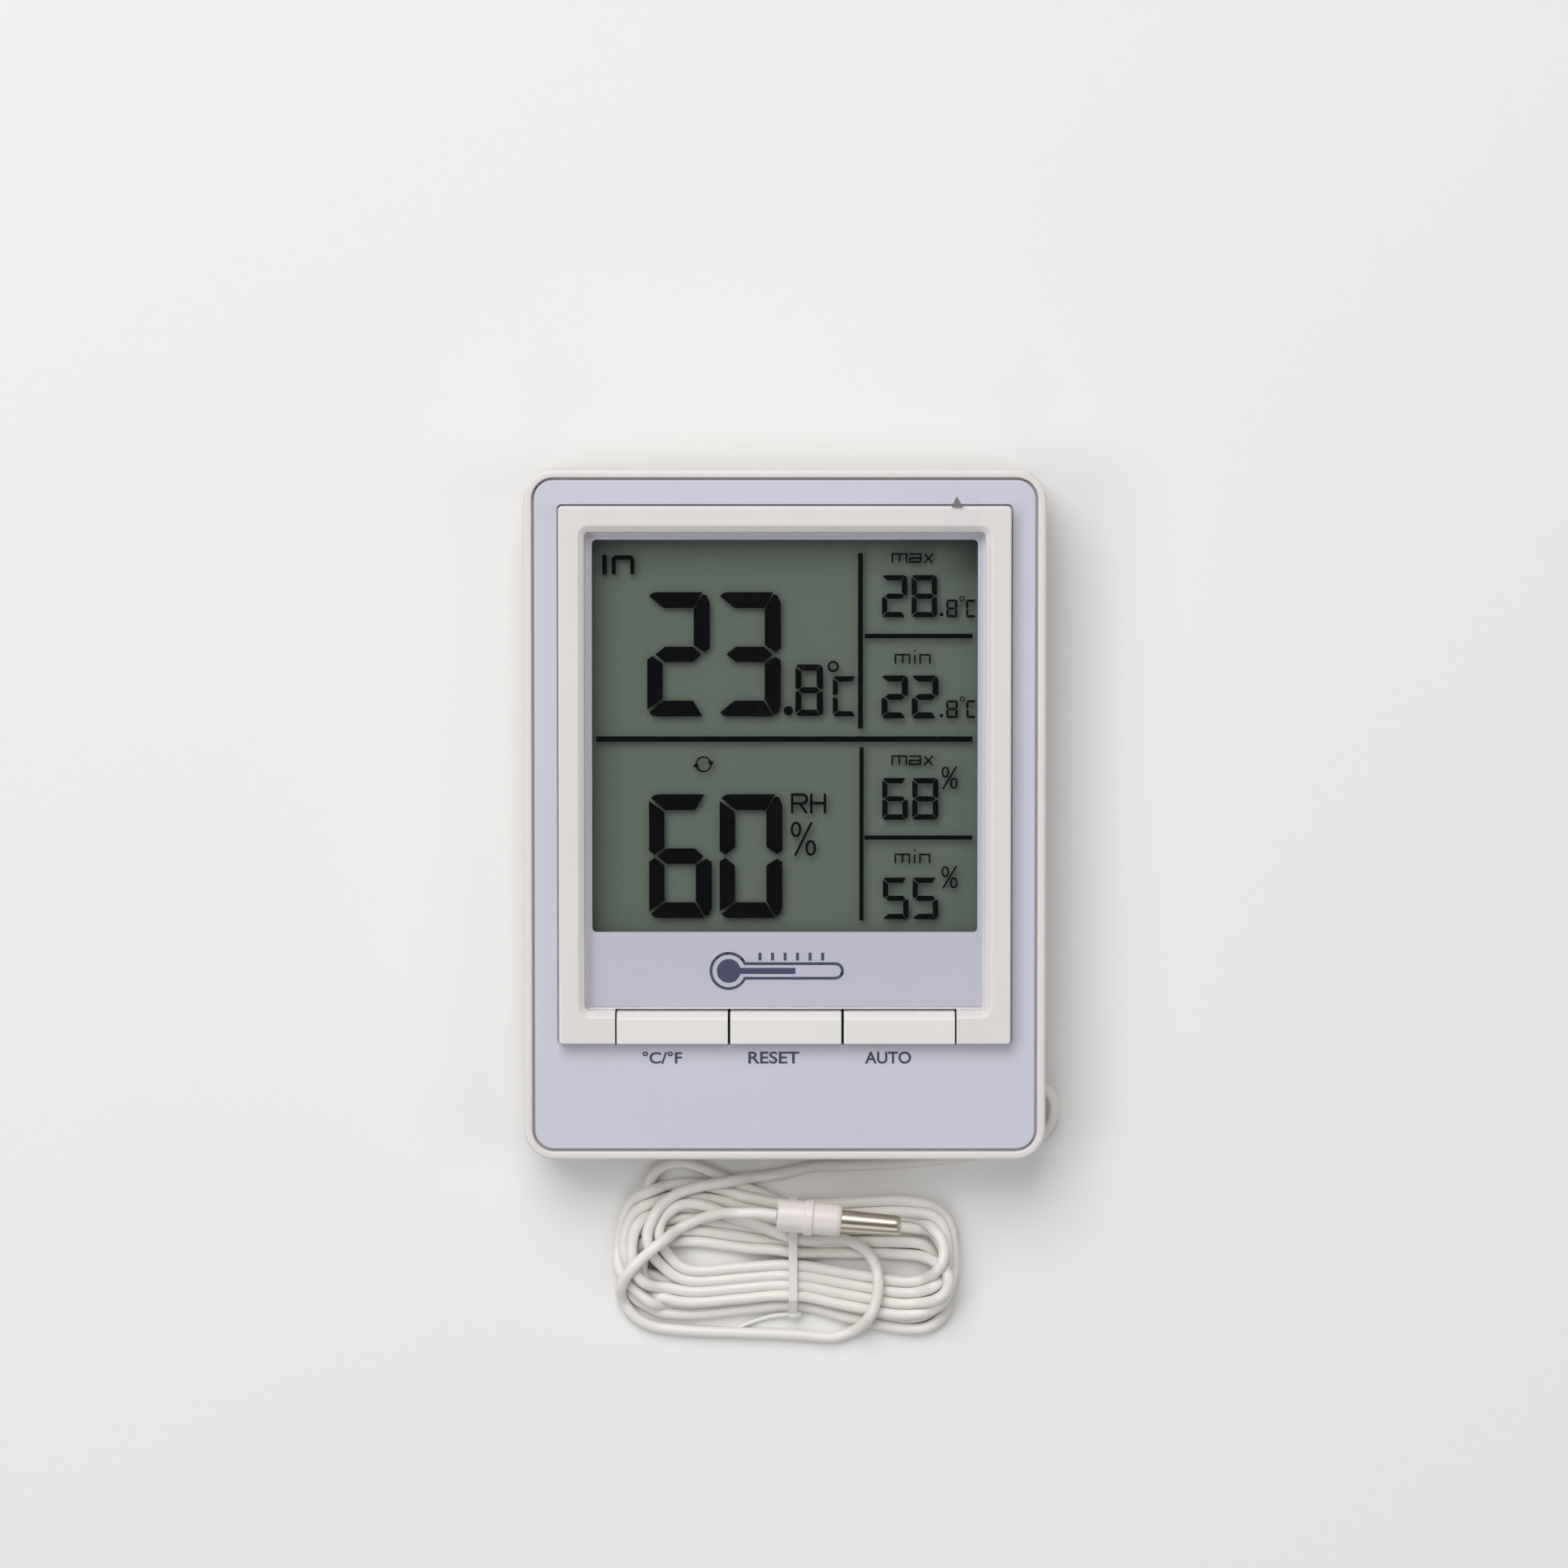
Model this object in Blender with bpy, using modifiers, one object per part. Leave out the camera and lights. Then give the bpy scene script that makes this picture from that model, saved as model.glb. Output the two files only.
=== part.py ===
"""Indoor and outdoor digital thermometer with a maximum and minimum memory and a cabled probe.

The case lies on its back: +Z points out of the display, +Y to the top of the case and +X to
the right as a reader sees it. The origin is at the middle of the back face.
"""

import math

import bmesh
import bpy
from mathutils import Matrix, Vector

MM = 0.001

# Clearances
gap = 0.3 * MM  # between pieces that touch or are glued
running = 0.3 * MM  # round a piece that slides or turns
reach = 2.0 * MM  # how far a cutter runs past the face that it opens

# Case, as seen from the front
case_width = 100.0 * MM
case_height = 132.5 * MM
case_corner = 5.8 * MM
rim_width = 1.6 * MM
rim_round = 0.7 * MM
wall = 2.0 * MM

# Heights above the back face
shoulder = 9.2 * MM  # where the back cover ends and the front housing starts
face_inside = 14.6 * MM
face_thickness = 1.5 * MM
rim_height = 1.9 * MM  # of the rim above the front face
frame_height = 4.5 * MM  # of the display frame above the front face

# Raised display frame
frame_width = 86.5 * MM
frame_length = 103.0 * MM
frame_corner = 0.7 * MM
frame_round = 0.4 * MM
frame_rise = 7.74 * MM  # of the frame's middle above the case's middle
side_bar = 4.95 * MM
top_bar = 4.94 * MM
button_bar = 6.46 * MM
window_corner = 0.9 * MM
bevel_width = 1.3 * MM
bevel_depth = 1.0 * MM
lens_ledge = 0.5 * MM  # thickness of the lens's seat above the front face

# Lens, film and face plate
lens_thickness = 2.0 * MM
film_thickness = 0.15 * MM
plate_thickness = 1.0 * MM
plate_joint = 0.45 * MM  # open joint between the plate and the rim
plate_corner = 3.6 * MM

# Display cell
print_side = 1.4 * MM  # widths of the printed border on the lens
print_top = 1.5 * MM
print_low = 14.9 * MM
view_margin = 0.4 * MM
glass_margin = 1.1 * MM
glass_tail = 6.2 * MM  # below the view, where the contacts are
seal_tail = 1.8 * MM
front_glass = 1.1 * MM
rear_glass = 0.9 * MM
reflector_thickness = 0.2 * MM
holder_wall = 1.0 * MM
holder_shelf = 0.5 * MM
zebra_width = 2.2 * MM

# Circuit board
board_top = 10.4 * MM
board_thickness = 1.6 * MM
board_play = 0.5 * MM  # to the case's walls
board_low_margin = 1.3 * MM  # below the switches
board_corner = 1.0 * MM
post_radius = 1.9 * MM
post_inset = 1.8 * MM  # from the board's edge
post_heights = (30.0 * MM, -31.0 * MM)

# Under the board
blob_radius = 6.5 * MM
blob_depth = 1.9 * MM
blob_place = (4.0 * MM, 31.0 * MM)
crystal_radius = 1.0 * MM
crystal_length = 6.0 * MM
crystal_place = (-24.0 * MM, 38.0 * MM)
bead_radius = 1.0 * MM
bead_place = (24.0 * MM, -24.0 * MM)
humidity_size = (10.0 * MM, 5.5 * MM, 1.0 * MM)
humidity_place = (33.0 * MM, -31.2 * MM)

# Buttons, left to right
button_names = ("unit", "reset", "auto")
button_width = 21.3 * MM
button_length = 6.15 * MM
button_pitch = 21.75 * MM
button_top = 20.4 * MM
button_travel = 0.5 * MM
button_middle = 0.2 * MM  # of the middle button
flange_overlap = 1.0 * MM
flange_thickness = 0.7 * MM
switch_side = 6.0 * MM
switch_height = 1.7 * MM
switch_floor = 0.4 * MM
plunger_radius = 1.5 * MM
plunger_length = 1.4 * MM

# Screws
screw_radius = 1.0 * MM
screw_head_radius = 1.9 * MM
screw_head = 1.2 * MM
screw_slot = 0.5 * MM
case_screw_length = 8.0 * MM
board_screw_length = 5.0 * MM
boss_radius = 2.4 * MM
cover_boss_radius = 2.8 * MM
cover_boss_top = 5.7 * MM
counterbore_depth = 2.4 * MM
counterbore_radius = 2.3 * MM
boss_inset = (8.6 * MM, 8.65 * MM)  # from the case's side and end

# Back cover
body_inset = 3.5 * MM  # of the cover's body behind the rim
body_corner = 6.0 * MM
body_round = 1.2 * MM
floor = 2.0 * MM
rim_flange = 1.5 * MM
flange_inset = 0.5 * MM
lip_height = 1.3 * MM

# Keyhole and vents
keyhole_drop = 17.75 * MM  # below the case's top
keyhole_head = 3.75 * MM
keyhole_slot = 2.1 * MM
keyhole_rise = 5.0 * MM
vent_count = 5
vent_pitch = 3.2 * MM
vent_width = 1.4 * MM
vent_length = 14.0 * MM
vent_middle = (31.0 * MM, -31.0 * MM)

# Stand
stand_width = 27.4 * MM
stand_length = 53.2 * MM
stand_thickness = 1.9 * MM
stand_axis = (22.0 * MM, 1.9 * MM)  # Y and Z of the hinge
barrel_radius = 1.6 * MM
pin_radius = 1.05 * MM
pin_reach = 1.5 * MM
pocket_depth = 2.6 * MM
pocket_wall = 1.8 * MM
finger_width = 14.0 * MM
finger_length = 5.0 * MM

# Battery, size AAA, lying across the case
battery_radius = 5.25 * MM
battery_length = 43.5 * MM
nub_radius = 1.9 * MM
nub_length = 1.0 * MM
battery_rise = 12.25 * MM  # above the case's bottom
battery_z = 7.3 * MM
battery_minus = -22.5 * MM  # X of its flat end
spring_length = 5.4 * MM
spring_wire = 0.35 * MM
spring_turns = 4
spring_wide = 3.9 * MM
spring_narrow = 2.2 * MM
contact_thickness = 0.4 * MM
tab_width = 2.4 * MM
tab_height = 1.2 * MM
bay_play = 0.65 * MM
bay_wall = 1.2 * MM
door_ledge = 2.0 * MM
door_thickness = 1.3 * MM
rib_width = 9.0 * MM
rib_height = 2.0 * MM
rib_thickness = 0.7 * MM

# Cable and probe
cable_radius = 1.1 * MM
lead_spacing = 4.4 * MM  # between the points that its solids are drawn through
exit_rise = 13.25 * MM  # above the case's bottom
exit_z = 4.5 * MM
grommet_neck = 1.8 * MM
grommet_collar = 2.2 * MM
collar_length = 0.9 * MM
inner_wire = 0.6 * MM  # radius of a wire inside the case
hank_length = 66.0 * MM
hank_width = 26.0 * MM
hank_middle = (-49.3 * MM, -19.15 * MM)  # from the case's lower right corner, as the next places
hank_tilt = math.radians(-5.0)
hank_height = 5.2 * MM
hank_waist = 3.6 * MM  # how far each side is pulled in
waist_reach = 11.0 * MM
tie_width = 1.7 * MM
tie_thickness = 0.6 * MM
tie_middle = (-48.5 * MM, -19.25 * MM)
tie_length = 21.6 * MM
probe_entry = (-51.4 * MM, -11.55 * MM)  # where the cable goes into the sleeve
probe_tilt = math.radians(-5.0)
sleeve_length = 12.4 * MM
sleeve_radius = 3.15 * MM
ring_radius = 3.5 * MM
ring_start = 5.2 * MM
ring_length = 1.7 * MM
sleeve_shoulder = 1.1 * MM
tip_length = 11.6 * MM
tip_root = 2.15 * MM
tip_end = 1.9 * MM
tip_wall = 0.3 * MM
tip_inside = 3.0 * MM  # how far the tip sits in the sleeve

# Heights and edges that follow from the values above
face_top = face_inside + face_thickness
rim_top = face_top + rim_height
frame_top = face_top + frame_height
lens_seat = face_top + lens_ledge
lens_bottom = lens_seat + gap
lens_top = lens_bottom + lens_thickness
right_edge = case_width / 2
low_edge = -case_height / 2
window_width = frame_width - 2 * side_bar
window_length = frame_length - top_bar - button_bar
window_rise = frame_rise + (button_bar - top_bar) / 2
view_width = window_width - 2 * print_side
view_length = window_length - print_top - print_low
view_rise = window_rise + (print_low - print_top) / 2
body_width = case_width - 2 * body_inset
body_height = case_height - 2 * body_inset
board_bottom = board_top - board_thickness
board_width = body_width - 2 * (wall + board_play)
glass_top = face_inside - gap
glass_bottom = glass_top - front_glass
boss_x = case_width / 2 - boss_inset[0]
boss_y = case_height / 2 - boss_inset[1]
board_high = boss_y - boss_radius - board_play
window_low = window_rise - window_length / 2
button_y = window_low - gap - button_length / 2
board_low = button_y - switch_side / 2 - board_low_margin
battery_y = low_edge + battery_rise
keyhole_y = case_height / 2 - keyhole_drop
exit_y = low_edge + exit_rise
button_bottom = face_inside - gap - flange_thickness
hank_bottom = tie_thickness + gap
hank_top = hank_bottom + hank_height
tie_top = hank_top + gap + tie_thickness
probe_z = tie_top + gap + ring_radius
on_floor = cable_radius
on_hank = hank_top + gap + cable_radius
over_tie = tie_top + 2 * gap + cable_radius

corner_segments = 4
round_segments = 3
turn_steps = 24
small_steps = 16

# The cable's routes: X and Y of its middle from the case's lower right corner, and Z
lead_route = (
    (3.6 * gap - body_inset, exit_rise, exit_z),
    (1.6 * MM - body_inset, exit_rise, exit_z),
    (-0.1 * MM, 12.3 * MM, 4.4 * MM),
    (1.4 * MM, 11.0 * MM, 4.0 * MM),
    (2.1 * MM, 8.2 * MM, 3.2 * MM),
    (1.3 * MM, 5.1 * MM, 2.3 * MM),
    (-1.0 * MM, 2.6 * MM, 1.6 * MM),
    (-4.4 * MM, 0.8 * MM, 1.2 * MM),
    (-9.2 * MM, -0.4 * MM, on_floor),
    (-15.1 * MM, -1.2 * MM, on_floor),
    (-21.4 * MM, -2.0 * MM, on_floor),
    (-29.4 * MM, -2.7 * MM, on_floor),
    (-37.0 * MM, -3.0 * MM, on_floor),
    (-44.5 * MM, -3.3 * MM, on_floor),
    (-50.5 * MM, -3.7 * MM, on_floor),
)
loop_route = (
    (probe_entry[0] - gap, probe_entry[1], probe_z),
    (-56.0 * MM, -11.2 * MM, probe_z - 0.1 * MM),
    (-62.7 * MM, -11.8 * MM, 9.6 * MM),
    (-68.9 * MM, -14.3 * MM, 8.2 * MM),
    (-74.4 * MM, -17.7 * MM, on_hank),
    (-78.6 * MM, -21.5 * MM, on_hank),
    (-81.3 * MM, -25.2 * MM, 7.5 * MM),
    (-81.5 * MM, -28.8 * MM, 5.0 * MM),
    (-79.4 * MM, -31.3 * MM, 3.0 * MM),
    (-75.5 * MM, -33.2 * MM, 1.6 * MM),
    (-68.2 * MM, -34.0 * MM, on_floor),
    (-60.4 * MM, -34.2 * MM, on_floor),
    (-51.1 * MM, -34.5 * MM, on_floor),
    (-45.5 * MM, -34.9 * MM, 2.1 * MM),
    (-40.7 * MM, -35.5 * MM, 4.7 * MM),
    (-36.3 * MM, -34.4 * MM, 7.2 * MM),
    (-33.2 * MM, -31.2 * MM, on_hank + 0.4 * MM),
    (-31.9 * MM, -26.8 * MM, on_hank),
    (-32.4 * MM, -22.3 * MM, on_hank),
    (-35.0 * MM, -18.9 * MM, on_hank),
    (-39.4 * MM, -17.4 * MM, on_hank + 0.3 * MM),
    (-44.9 * MM, -17.0 * MM, over_tie),
    (-49.0 * MM, -16.6 * MM, over_tie),
    (-52.4 * MM, -15.8 * MM, on_hank + 0.3 * MM),
    (-59.0 * MM, -13.9 * MM, on_hank),
)

part_collection = None
cutter_collection = None


def clear_scene():
    for thing in list(bpy.data.objects):
        bpy.data.objects.remove(thing, do_unlink=True)


def new_collection(name):
    collection = bpy.data.collections.new(name)
    bpy.context.scene.collection.children.link(collection)
    return collection


def material(name, colour, roughness, metallic=0.0, transmission=0.0):
    made = bpy.data.materials.new(name)
    made.use_nodes = True
    shader = made.node_tree.nodes["Principled BSDF"]
    shader.inputs["Base Color"].default_value = (*colour, 1.0)
    shader.inputs["Roughness"].default_value = roughness
    shader.inputs["Metallic"].default_value = metallic
    shader.inputs["Transmission Weight"].default_value = transmission
    return made


def add_mesh(name, mesh_builder, paint=None):
    """A named object from a bmesh: with a material it is a part, without one a cutter."""
    data = bpy.data.meshes.new(name)
    mesh_builder.to_mesh(data)
    mesh_builder.free()
    return add_object(name, data, paint)


def add_object(name, data, paint):
    made = bpy.data.objects.new(name, data)
    if paint is None:
        cutter_collection.objects.link(made)
        made.hide_render = True
        made.display_type = "WIRE"
        return made
    part_collection.objects.link(made)
    data.materials.append(paint)
    return made


def smooth(thing):
    thing.data.shade_smooth()
    thing.data.set_sharp_from_angle(angle=math.radians(35.0))
    return thing


def from_corner(place, height=0.0):
    """A place given from the case's lower right corner, which the cable and its hank lie by."""
    return Vector((right_edge + place[0], low_edge + place[1], height))


def block_mesh(width, length, low, high, x=0.0, y=0.0, corner=0.0, top_round=0.0, bottom_round=0.0):
    """A box with rounded upright edges and, where asked for, rounded top or bottom edges."""
    made = bmesh.new()
    bmesh.ops.create_cube(made, size=1.0)
    bmesh.ops.scale(made, vec=(width, length, high - low), verts=made.verts)
    bmesh.ops.translate(made, vec=(x, y, (low + high) / 2), verts=made.verts)
    if corner > 0.0:
        upright = [edge for edge in made.edges if abs(edge.verts[0].co.z - edge.verts[1].co.z) > gap / 2]
        round_edges(made, upright, corner, corner_segments)
    middle = (low + high) / 2
    if top_round > 0.0:
        top = [edge for edge in made.edges if is_level(edge) and edge.verts[0].co.z > middle]
        round_edges(made, top, top_round, round_segments)
    if bottom_round > 0.0:
        bottom = [edge for edge in made.edges if is_level(edge) and edge.verts[0].co.z < middle]
        round_edges(made, bottom, bottom_round, round_segments)
    return made


def is_level(edge):
    return abs(edge.verts[0].co.z - edge.verts[1].co.z) < gap / 100


def round_edges(made, edges, radius, segments):
    bmesh.ops.bevel(
        made, geom=edges, offset=radius, segments=segments, profile=0.5, affect="EDGES",
        offset_type="OFFSET", clamp_overlap=True, material=-1,
    )


def block(name, paint, *size, **options):
    return add_mesh(name, block_mesh(*size, **options), paint)


def span_block(name, paint, xs, ys, zs, corner=0.0):
    """A box given by its lowest and highest X, Y and Z."""
    return block(
        name, paint, xs[1] - xs[0], ys[1] - ys[0], zs[0], zs[1],
        x=(xs[0] + xs[1]) / 2, y=(ys[0] + ys[1]) / 2, corner=corner,
    )


def rod(name, paint, radius, start, end, sides=turn_steps):
    """A cylinder between two points."""
    start, end = Vector(start), Vector(end)
    made = bmesh.new()
    bmesh.ops.create_cone(
        made, cap_ends=True, segments=sides, radius1=radius, radius2=radius, depth=(end - start).length,
    )
    turn = (end - start).to_track_quat("Z", "Y").to_matrix().to_4x4()
    place = Matrix.Translation((start + end) / 2) @ turn
    bmesh.ops.transform(made, matrix=place, verts=made.verts)
    return smooth(add_mesh(name, made, paint))


def turned(name, paint, profile, place, steps=turn_steps, ring=False):
    """A turned piece: (radius, height) points, top to bottom on the outside, about local Z.

    A ring's profile closes on itself; any other profile starts and ends on the axis.
    """
    made = bmesh.new()
    points = [made.verts.new((radius, 0.0, height)) for radius, height in profile]
    pairs = list(zip(points, points[1:]))
    if ring:
        pairs.append((points[-1], points[0]))
    for first, second in pairs:
        made.edges.new((first, second))
    thing = add_mesh(name, made, paint)
    thing.matrix_world = place
    screw = thing.modifiers.new("Turn", "SCREW")
    screw.axis = "Z"
    screw.steps = steps
    screw.render_steps = steps
    screw.use_merge_vertices = True
    screw.merge_threshold = 0.00001
    screw.use_smooth_shade = True
    return thing


def smooth_points(route, spacing):
    """Points at an even spacing on a Catmull-Rom curve through the route."""
    knots = [Vector(point) for point in route]
    knots = [2 * knots[0] - knots[1], *knots, 2 * knots[-1] - knots[-2]]
    fine = []
    pieces = 24
    for a, b, c, d in zip(knots, knots[1:], knots[2:], knots[3:]):
        for step in range(pieces):
            t = step / pieces
            fine.append(
                b
                + (c - a) * t / 2
                + (2 * a - 5 * b + 4 * c - d) * t**2 / 2
                + (3 * b - a - 3 * c + d) * t**3 / 2
            )
    fine.append(knots[-2])
    travelled = [0.0]
    for before, after in zip(fine, fine[1:]):
        travelled.append(travelled[-1] + (after - before).length)
    count = max(2, round(travelled[-1] / spacing))
    even, at = [], 0
    for number in range(count + 1):
        wanted = travelled[-1] * number / count
        while at < len(travelled) - 2 and travelled[at + 1] < wanted:
            at += 1
        share = (wanted - travelled[at]) / (travelled[at + 1] - travelled[at])
        even.append(fine[at].lerp(fine[at + 1], share))
    return even


def wire(name, paint, points, radius, resolution=2):
    data = bpy.data.curves.new(name, "CURVE")
    data.dimensions = "3D"
    data.bevel_depth = radius
    data.bevel_resolution = resolution
    data.use_fill_caps = True
    spline = data.splines.new("POLY")
    spline.points.add(len(points) - 1)
    for knot, point in zip(spline.points, points):
        knot.co = (*point, 1.0)
    return add_object(name, data, paint)


def combine(thing, other, operation):
    modifier = thing.modifiers.new(other.name, "BOOLEAN")
    modifier.operation = operation
    modifier.solver = "EXACT"
    modifier.object = other


def cut(thing, *others):
    for other in others:
        combine(thing, other, "DIFFERENCE")


def join(thing, *others):
    for other in others:
        combine(thing, other, "UNION")


def corners():
    """The four case screws: their names' endings and places."""
    return (
        ("1", -boss_x, boss_y),
        ("2", boss_x, boss_y),
        ("3", -boss_x, -boss_y),
        ("4", boss_x, -boss_y),
    )


def posts():
    """The four board screws: their names' endings and places."""
    x = board_width / 2 - post_inset
    places = [(side * x, y) for y in post_heights for side in (-1, 1)]
    return [(str(number), x, y) for number, (x, y) in enumerate(places, 1)]


def button_places():
    return [
        (name, button_middle + (number - 1) * button_pitch) for number, name in enumerate(button_names)
    ]


def front_housing(paint):
    housing = block(
        "front_housing", paint, case_width, case_height, shoulder + gap, rim_top,
        corner=case_corner, top_round=rim_round,
    )
    cut(
        housing,
        block(
            "cut_front_cavity", None, case_width - 2 * wall, case_height - 2 * wall,
            shoulder - reach, face_inside, corner=case_corner - wall,
        ),
        block(
            "cut_plate_recess", None, case_width - 2 * rim_width, case_height - 2 * rim_width,
            face_top, rim_top + reach, corner=case_corner - rim_width,
        ),
    )
    join(
        housing,
        block(
            "add_display_frame", None, frame_width, frame_length, face_top - gap, frame_top,
            y=frame_rise, corner=frame_corner, top_round=frame_round,
        ),
    )
    for ending, x, y in corners():
        ends = (x, y, cover_boss_top + gap), (x, y, face_top - gap)
        join(housing, rod("add_boss_" + ending, None, boss_radius, *ends))
    for ending, x, y in posts():
        ends = (x, y, board_top + gap), (x, y, face_top - gap)
        join(housing, rod("add_post_" + ending, None, post_radius, *ends))
    cut(
        housing,
        block(
            "cut_window", None, window_width, window_length, lens_seat, frame_top + reach,
            y=window_rise, corner=window_corner,
        ),
        window_bevel(),
        block(
            "cut_view", None, view_width + 2 * view_margin, view_length + 2 * view_margin,
            face_inside - reach, frame_top, y=view_rise, corner=window_corner,
        ),
        button_slot(),
    )
    for ending, x, y in corners():
        hole = (x, y, cover_boss_top - reach), (x, y, cover_boss_top + case_screw_length)
        cut(housing, rod("cut_boss_" + ending, None, screw_radius + gap, *hole, sides=small_steps))
    for ending, x, y in posts():
        hole = (x, y, board_top - reach), (x, y, face_top - gap)
        cut(housing, rod("cut_post_" + ending, None, screw_radius + gap, *hole, sides=small_steps))
    return housing


def window_bevel():
    """Cuts the sloping inner edge of the display frame."""
    made = block_mesh(window_width, window_length, frame_top - bevel_depth, frame_top + bevel_depth)
    above = [vertex for vertex in made.verts if vertex.co.z > frame_top]
    for vertex in above:
        vertex.co.x += math.copysign(2 * bevel_width, vertex.co.x)
        vertex.co.y += math.copysign(2 * bevel_width, vertex.co.y)
    bmesh.ops.translate(made, vec=(0.0, window_rise, 0.0), verts=made.verts)
    return add_mesh("cut_window_bevel", made)


def button_slot():
    places = button_places()
    left = places[0][1] - button_width / 2 - running
    right = places[-1][1] + button_width / 2 + running
    low = button_y - button_length / 2 - running
    high = button_y + button_length / 2 + running
    zs = (face_inside - reach, frame_top + reach)
    return span_block("cut_button_slot", None, (left, right), (low, high), zs)


def face_plate(paint):
    edge = rim_width + plate_joint
    plate = block(
        "face_plate", paint, case_width - 2 * edge, case_height - 2 * edge,
        face_top + gap, face_top + gap + plate_thickness, corner=plate_corner, top_round=gap,
    )
    cut(
        plate,
        block(
            "cut_plate_opening", None, frame_width + 2 * gap, frame_length + 2 * gap,
            face_top - reach, rim_top + reach, y=frame_rise, corner=frame_corner + gap,
        ),
    )


def display_lens(paint):
    block(
        "display_lens", paint, window_width - 2 * gap, window_length - 2 * gap, lens_bottom, lens_top,
        y=window_rise, corner=window_corner - gap, top_round=gap,
    )


def protective_film(paint):
    """The clear film lies on the lens."""
    low = lens_top + gap
    inset = 3 * gap
    block(
        "protective_film", paint, window_width - 2 * inset, window_length - 2 * inset,
        low, low + film_thickness, y=window_rise,
    )


def display_cell(glass, foil, frame_plastic, rubber):
    """The two glasses, the reflector, their holder and the rubber connector."""
    side = view_width / 2 + glass_margin
    high = view_rise + view_length / 2 + glass_margin + view_margin
    low = view_rise - view_length / 2 - glass_tail
    seal_low = view_rise - view_length / 2 - seal_tail
    span_block("lcd_front_glass", glass, (-side, side), (low, high), (glass_bottom, glass_top))
    rear_top = glass_bottom - gap
    rear_bottom = rear_top - rear_glass
    span_block("lcd_rear_glass", glass, (-side, side), (seal_low, high), (rear_bottom, rear_top))
    foil_top = rear_bottom - gap
    foil_bottom = foil_top - reflector_thickness
    span_block("lcd_reflector", foil, (-side, side), (seal_low, high), (foil_bottom, foil_top))
    holder_low = board_top + gap
    shelf_top = min(holder_low + holder_shelf, foil_bottom - gap)
    outer = side + gap + holder_wall
    holder = span_block(
        "lcd_holder", frame_plastic, (-outer, outer), (low - gap - holder_wall, high + gap + holder_wall),
        (holder_low, glass_top),
    )
    strip_high = low + gap + zebra_width
    cut(
        holder,
        span_block(
            "cut_glass_seat", None, (-side - gap, side + gap), (low - gap, high + gap),
            (shelf_top, glass_top + reach),
        ),
        span_block(
            "cut_holder_opening", None, (-view_width / 2, view_width / 2),
            (strip_high + 2 * gap, high - glass_margin), (holder_low - reach, glass_top + reach),
        ),
        span_block(
            "cut_strip_seat", None, (-view_width / 2 - gap, view_width / 2 + gap),
            (low, strip_high + gap), (holder_low - reach, glass_top + reach),
        ),
    )
    span_block(
        "zebra_strip", rubber, (-view_width / 2, view_width / 2), (low + gap, strip_high),
        (holder_low, glass_bottom - gap),
    )


def main_board(paint):
    board = span_block(
        "main_board", paint, (-board_width / 2, board_width / 2), (board_low, board_high),
        (board_bottom, board_top), corner=board_corner,
    )
    for ending, x, y in posts():
        hole = (x, y, board_bottom - reach), (x, y, board_top + reach)
        cut(board, rod("cut_board_" + ending, None, screw_radius + gap, *hole, sides=small_steps))


def board_parts(epoxy, metal, ceramic):
    """What is soldered under the board."""
    under = board_bottom - gap
    arc = [math.radians(degrees) for degrees in range(90, -1, -15)]
    dome = [(blob_radius * math.cos(a), blob_depth * math.sin(a)) for a in arc]
    flipped = Matrix.Rotation(math.pi, 4, "X")
    place = Matrix.Translation((*blob_place, under)) @ flipped
    turned("chip_blob", epoxy, [*dome, (0.0, 0.0)], place, steps=small_steps)
    x, y = crystal_place
    ends = (x, y, under - crystal_radius), (x + crystal_length, y, under - crystal_radius)
    rod("clock_crystal", metal, crystal_radius, *ends, sides=small_steps)
    made = bmesh.new()
    bmesh.ops.create_uvsphere(made, u_segments=small_steps, v_segments=small_steps // 2, radius=bead_radius)
    bmesh.ops.translate(made, vec=(*bead_place, under - bead_radius), verts=made.verts)
    smooth(add_mesh("room_thermistor", made, epoxy))
    width, length, thickness = humidity_size
    x, y = humidity_place
    block("humidity_sensor", ceramic, width, length, under - thickness, under, x=x, y=y)


def buttons(cap_paint, switch_paint, plunger_paint):
    """Each cap drops onto the plunger of its switch; both travel together."""
    for name, x in button_places():
        ys = (button_y - button_length / 2, button_y + button_length / 2)
        cap = block(
            name + "_button", cap_paint, button_width, button_length, button_bottom, button_top,
            x=x, y=button_y, top_round=frame_round / 2,
        )
        join(
            cap,
            span_block(
                "add_flange_" + name, None, (x - button_width / 2, x + button_width / 2),
                (ys[0] - flange_overlap, ys[1] + flange_overlap),
                (button_bottom, button_bottom + flange_thickness),
            ),
        )
        cut(cap, slope_cutter("cut_slope_" + name, x, ys[1]))
        base = board_top + gap
        half = switch_side / 2
        body = span_block(
            name + "_switch", switch_paint, (x - half, x + half), (button_y - half, button_y + half),
            (base, base + switch_height),
        )
        well = (x, button_y, base + switch_floor), (x, button_y, base + switch_height + reach)
        cut(body, rod("cut_well_" + name, None, plunger_radius + running, *well, sides=small_steps))
        top = button_bottom - gap
        ends = (x, button_y, top - plunger_length), (x, button_y, top)
        rod(name + "_plunger", plunger_paint, plunger_radius, *ends, sides=small_steps)


def slope_cutter(name, x, y):
    """Slopes a cap's upper edge, in line with the bevel of the display frame."""
    low, high = button_top - bevel_depth, button_top + bevel_depth
    made = block_mesh(2 * button_width, 2 * bevel_width, low, high, x=x)
    for vertex in made.verts:
        if vertex.co.y < 0.0:
            vertex.co.y += math.copysign(bevel_width, button_top - vertex.co.z)
    bmesh.ops.translate(made, vec=(0.0, y, 0.0), verts=made.verts)
    return add_mesh(name, made)


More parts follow.
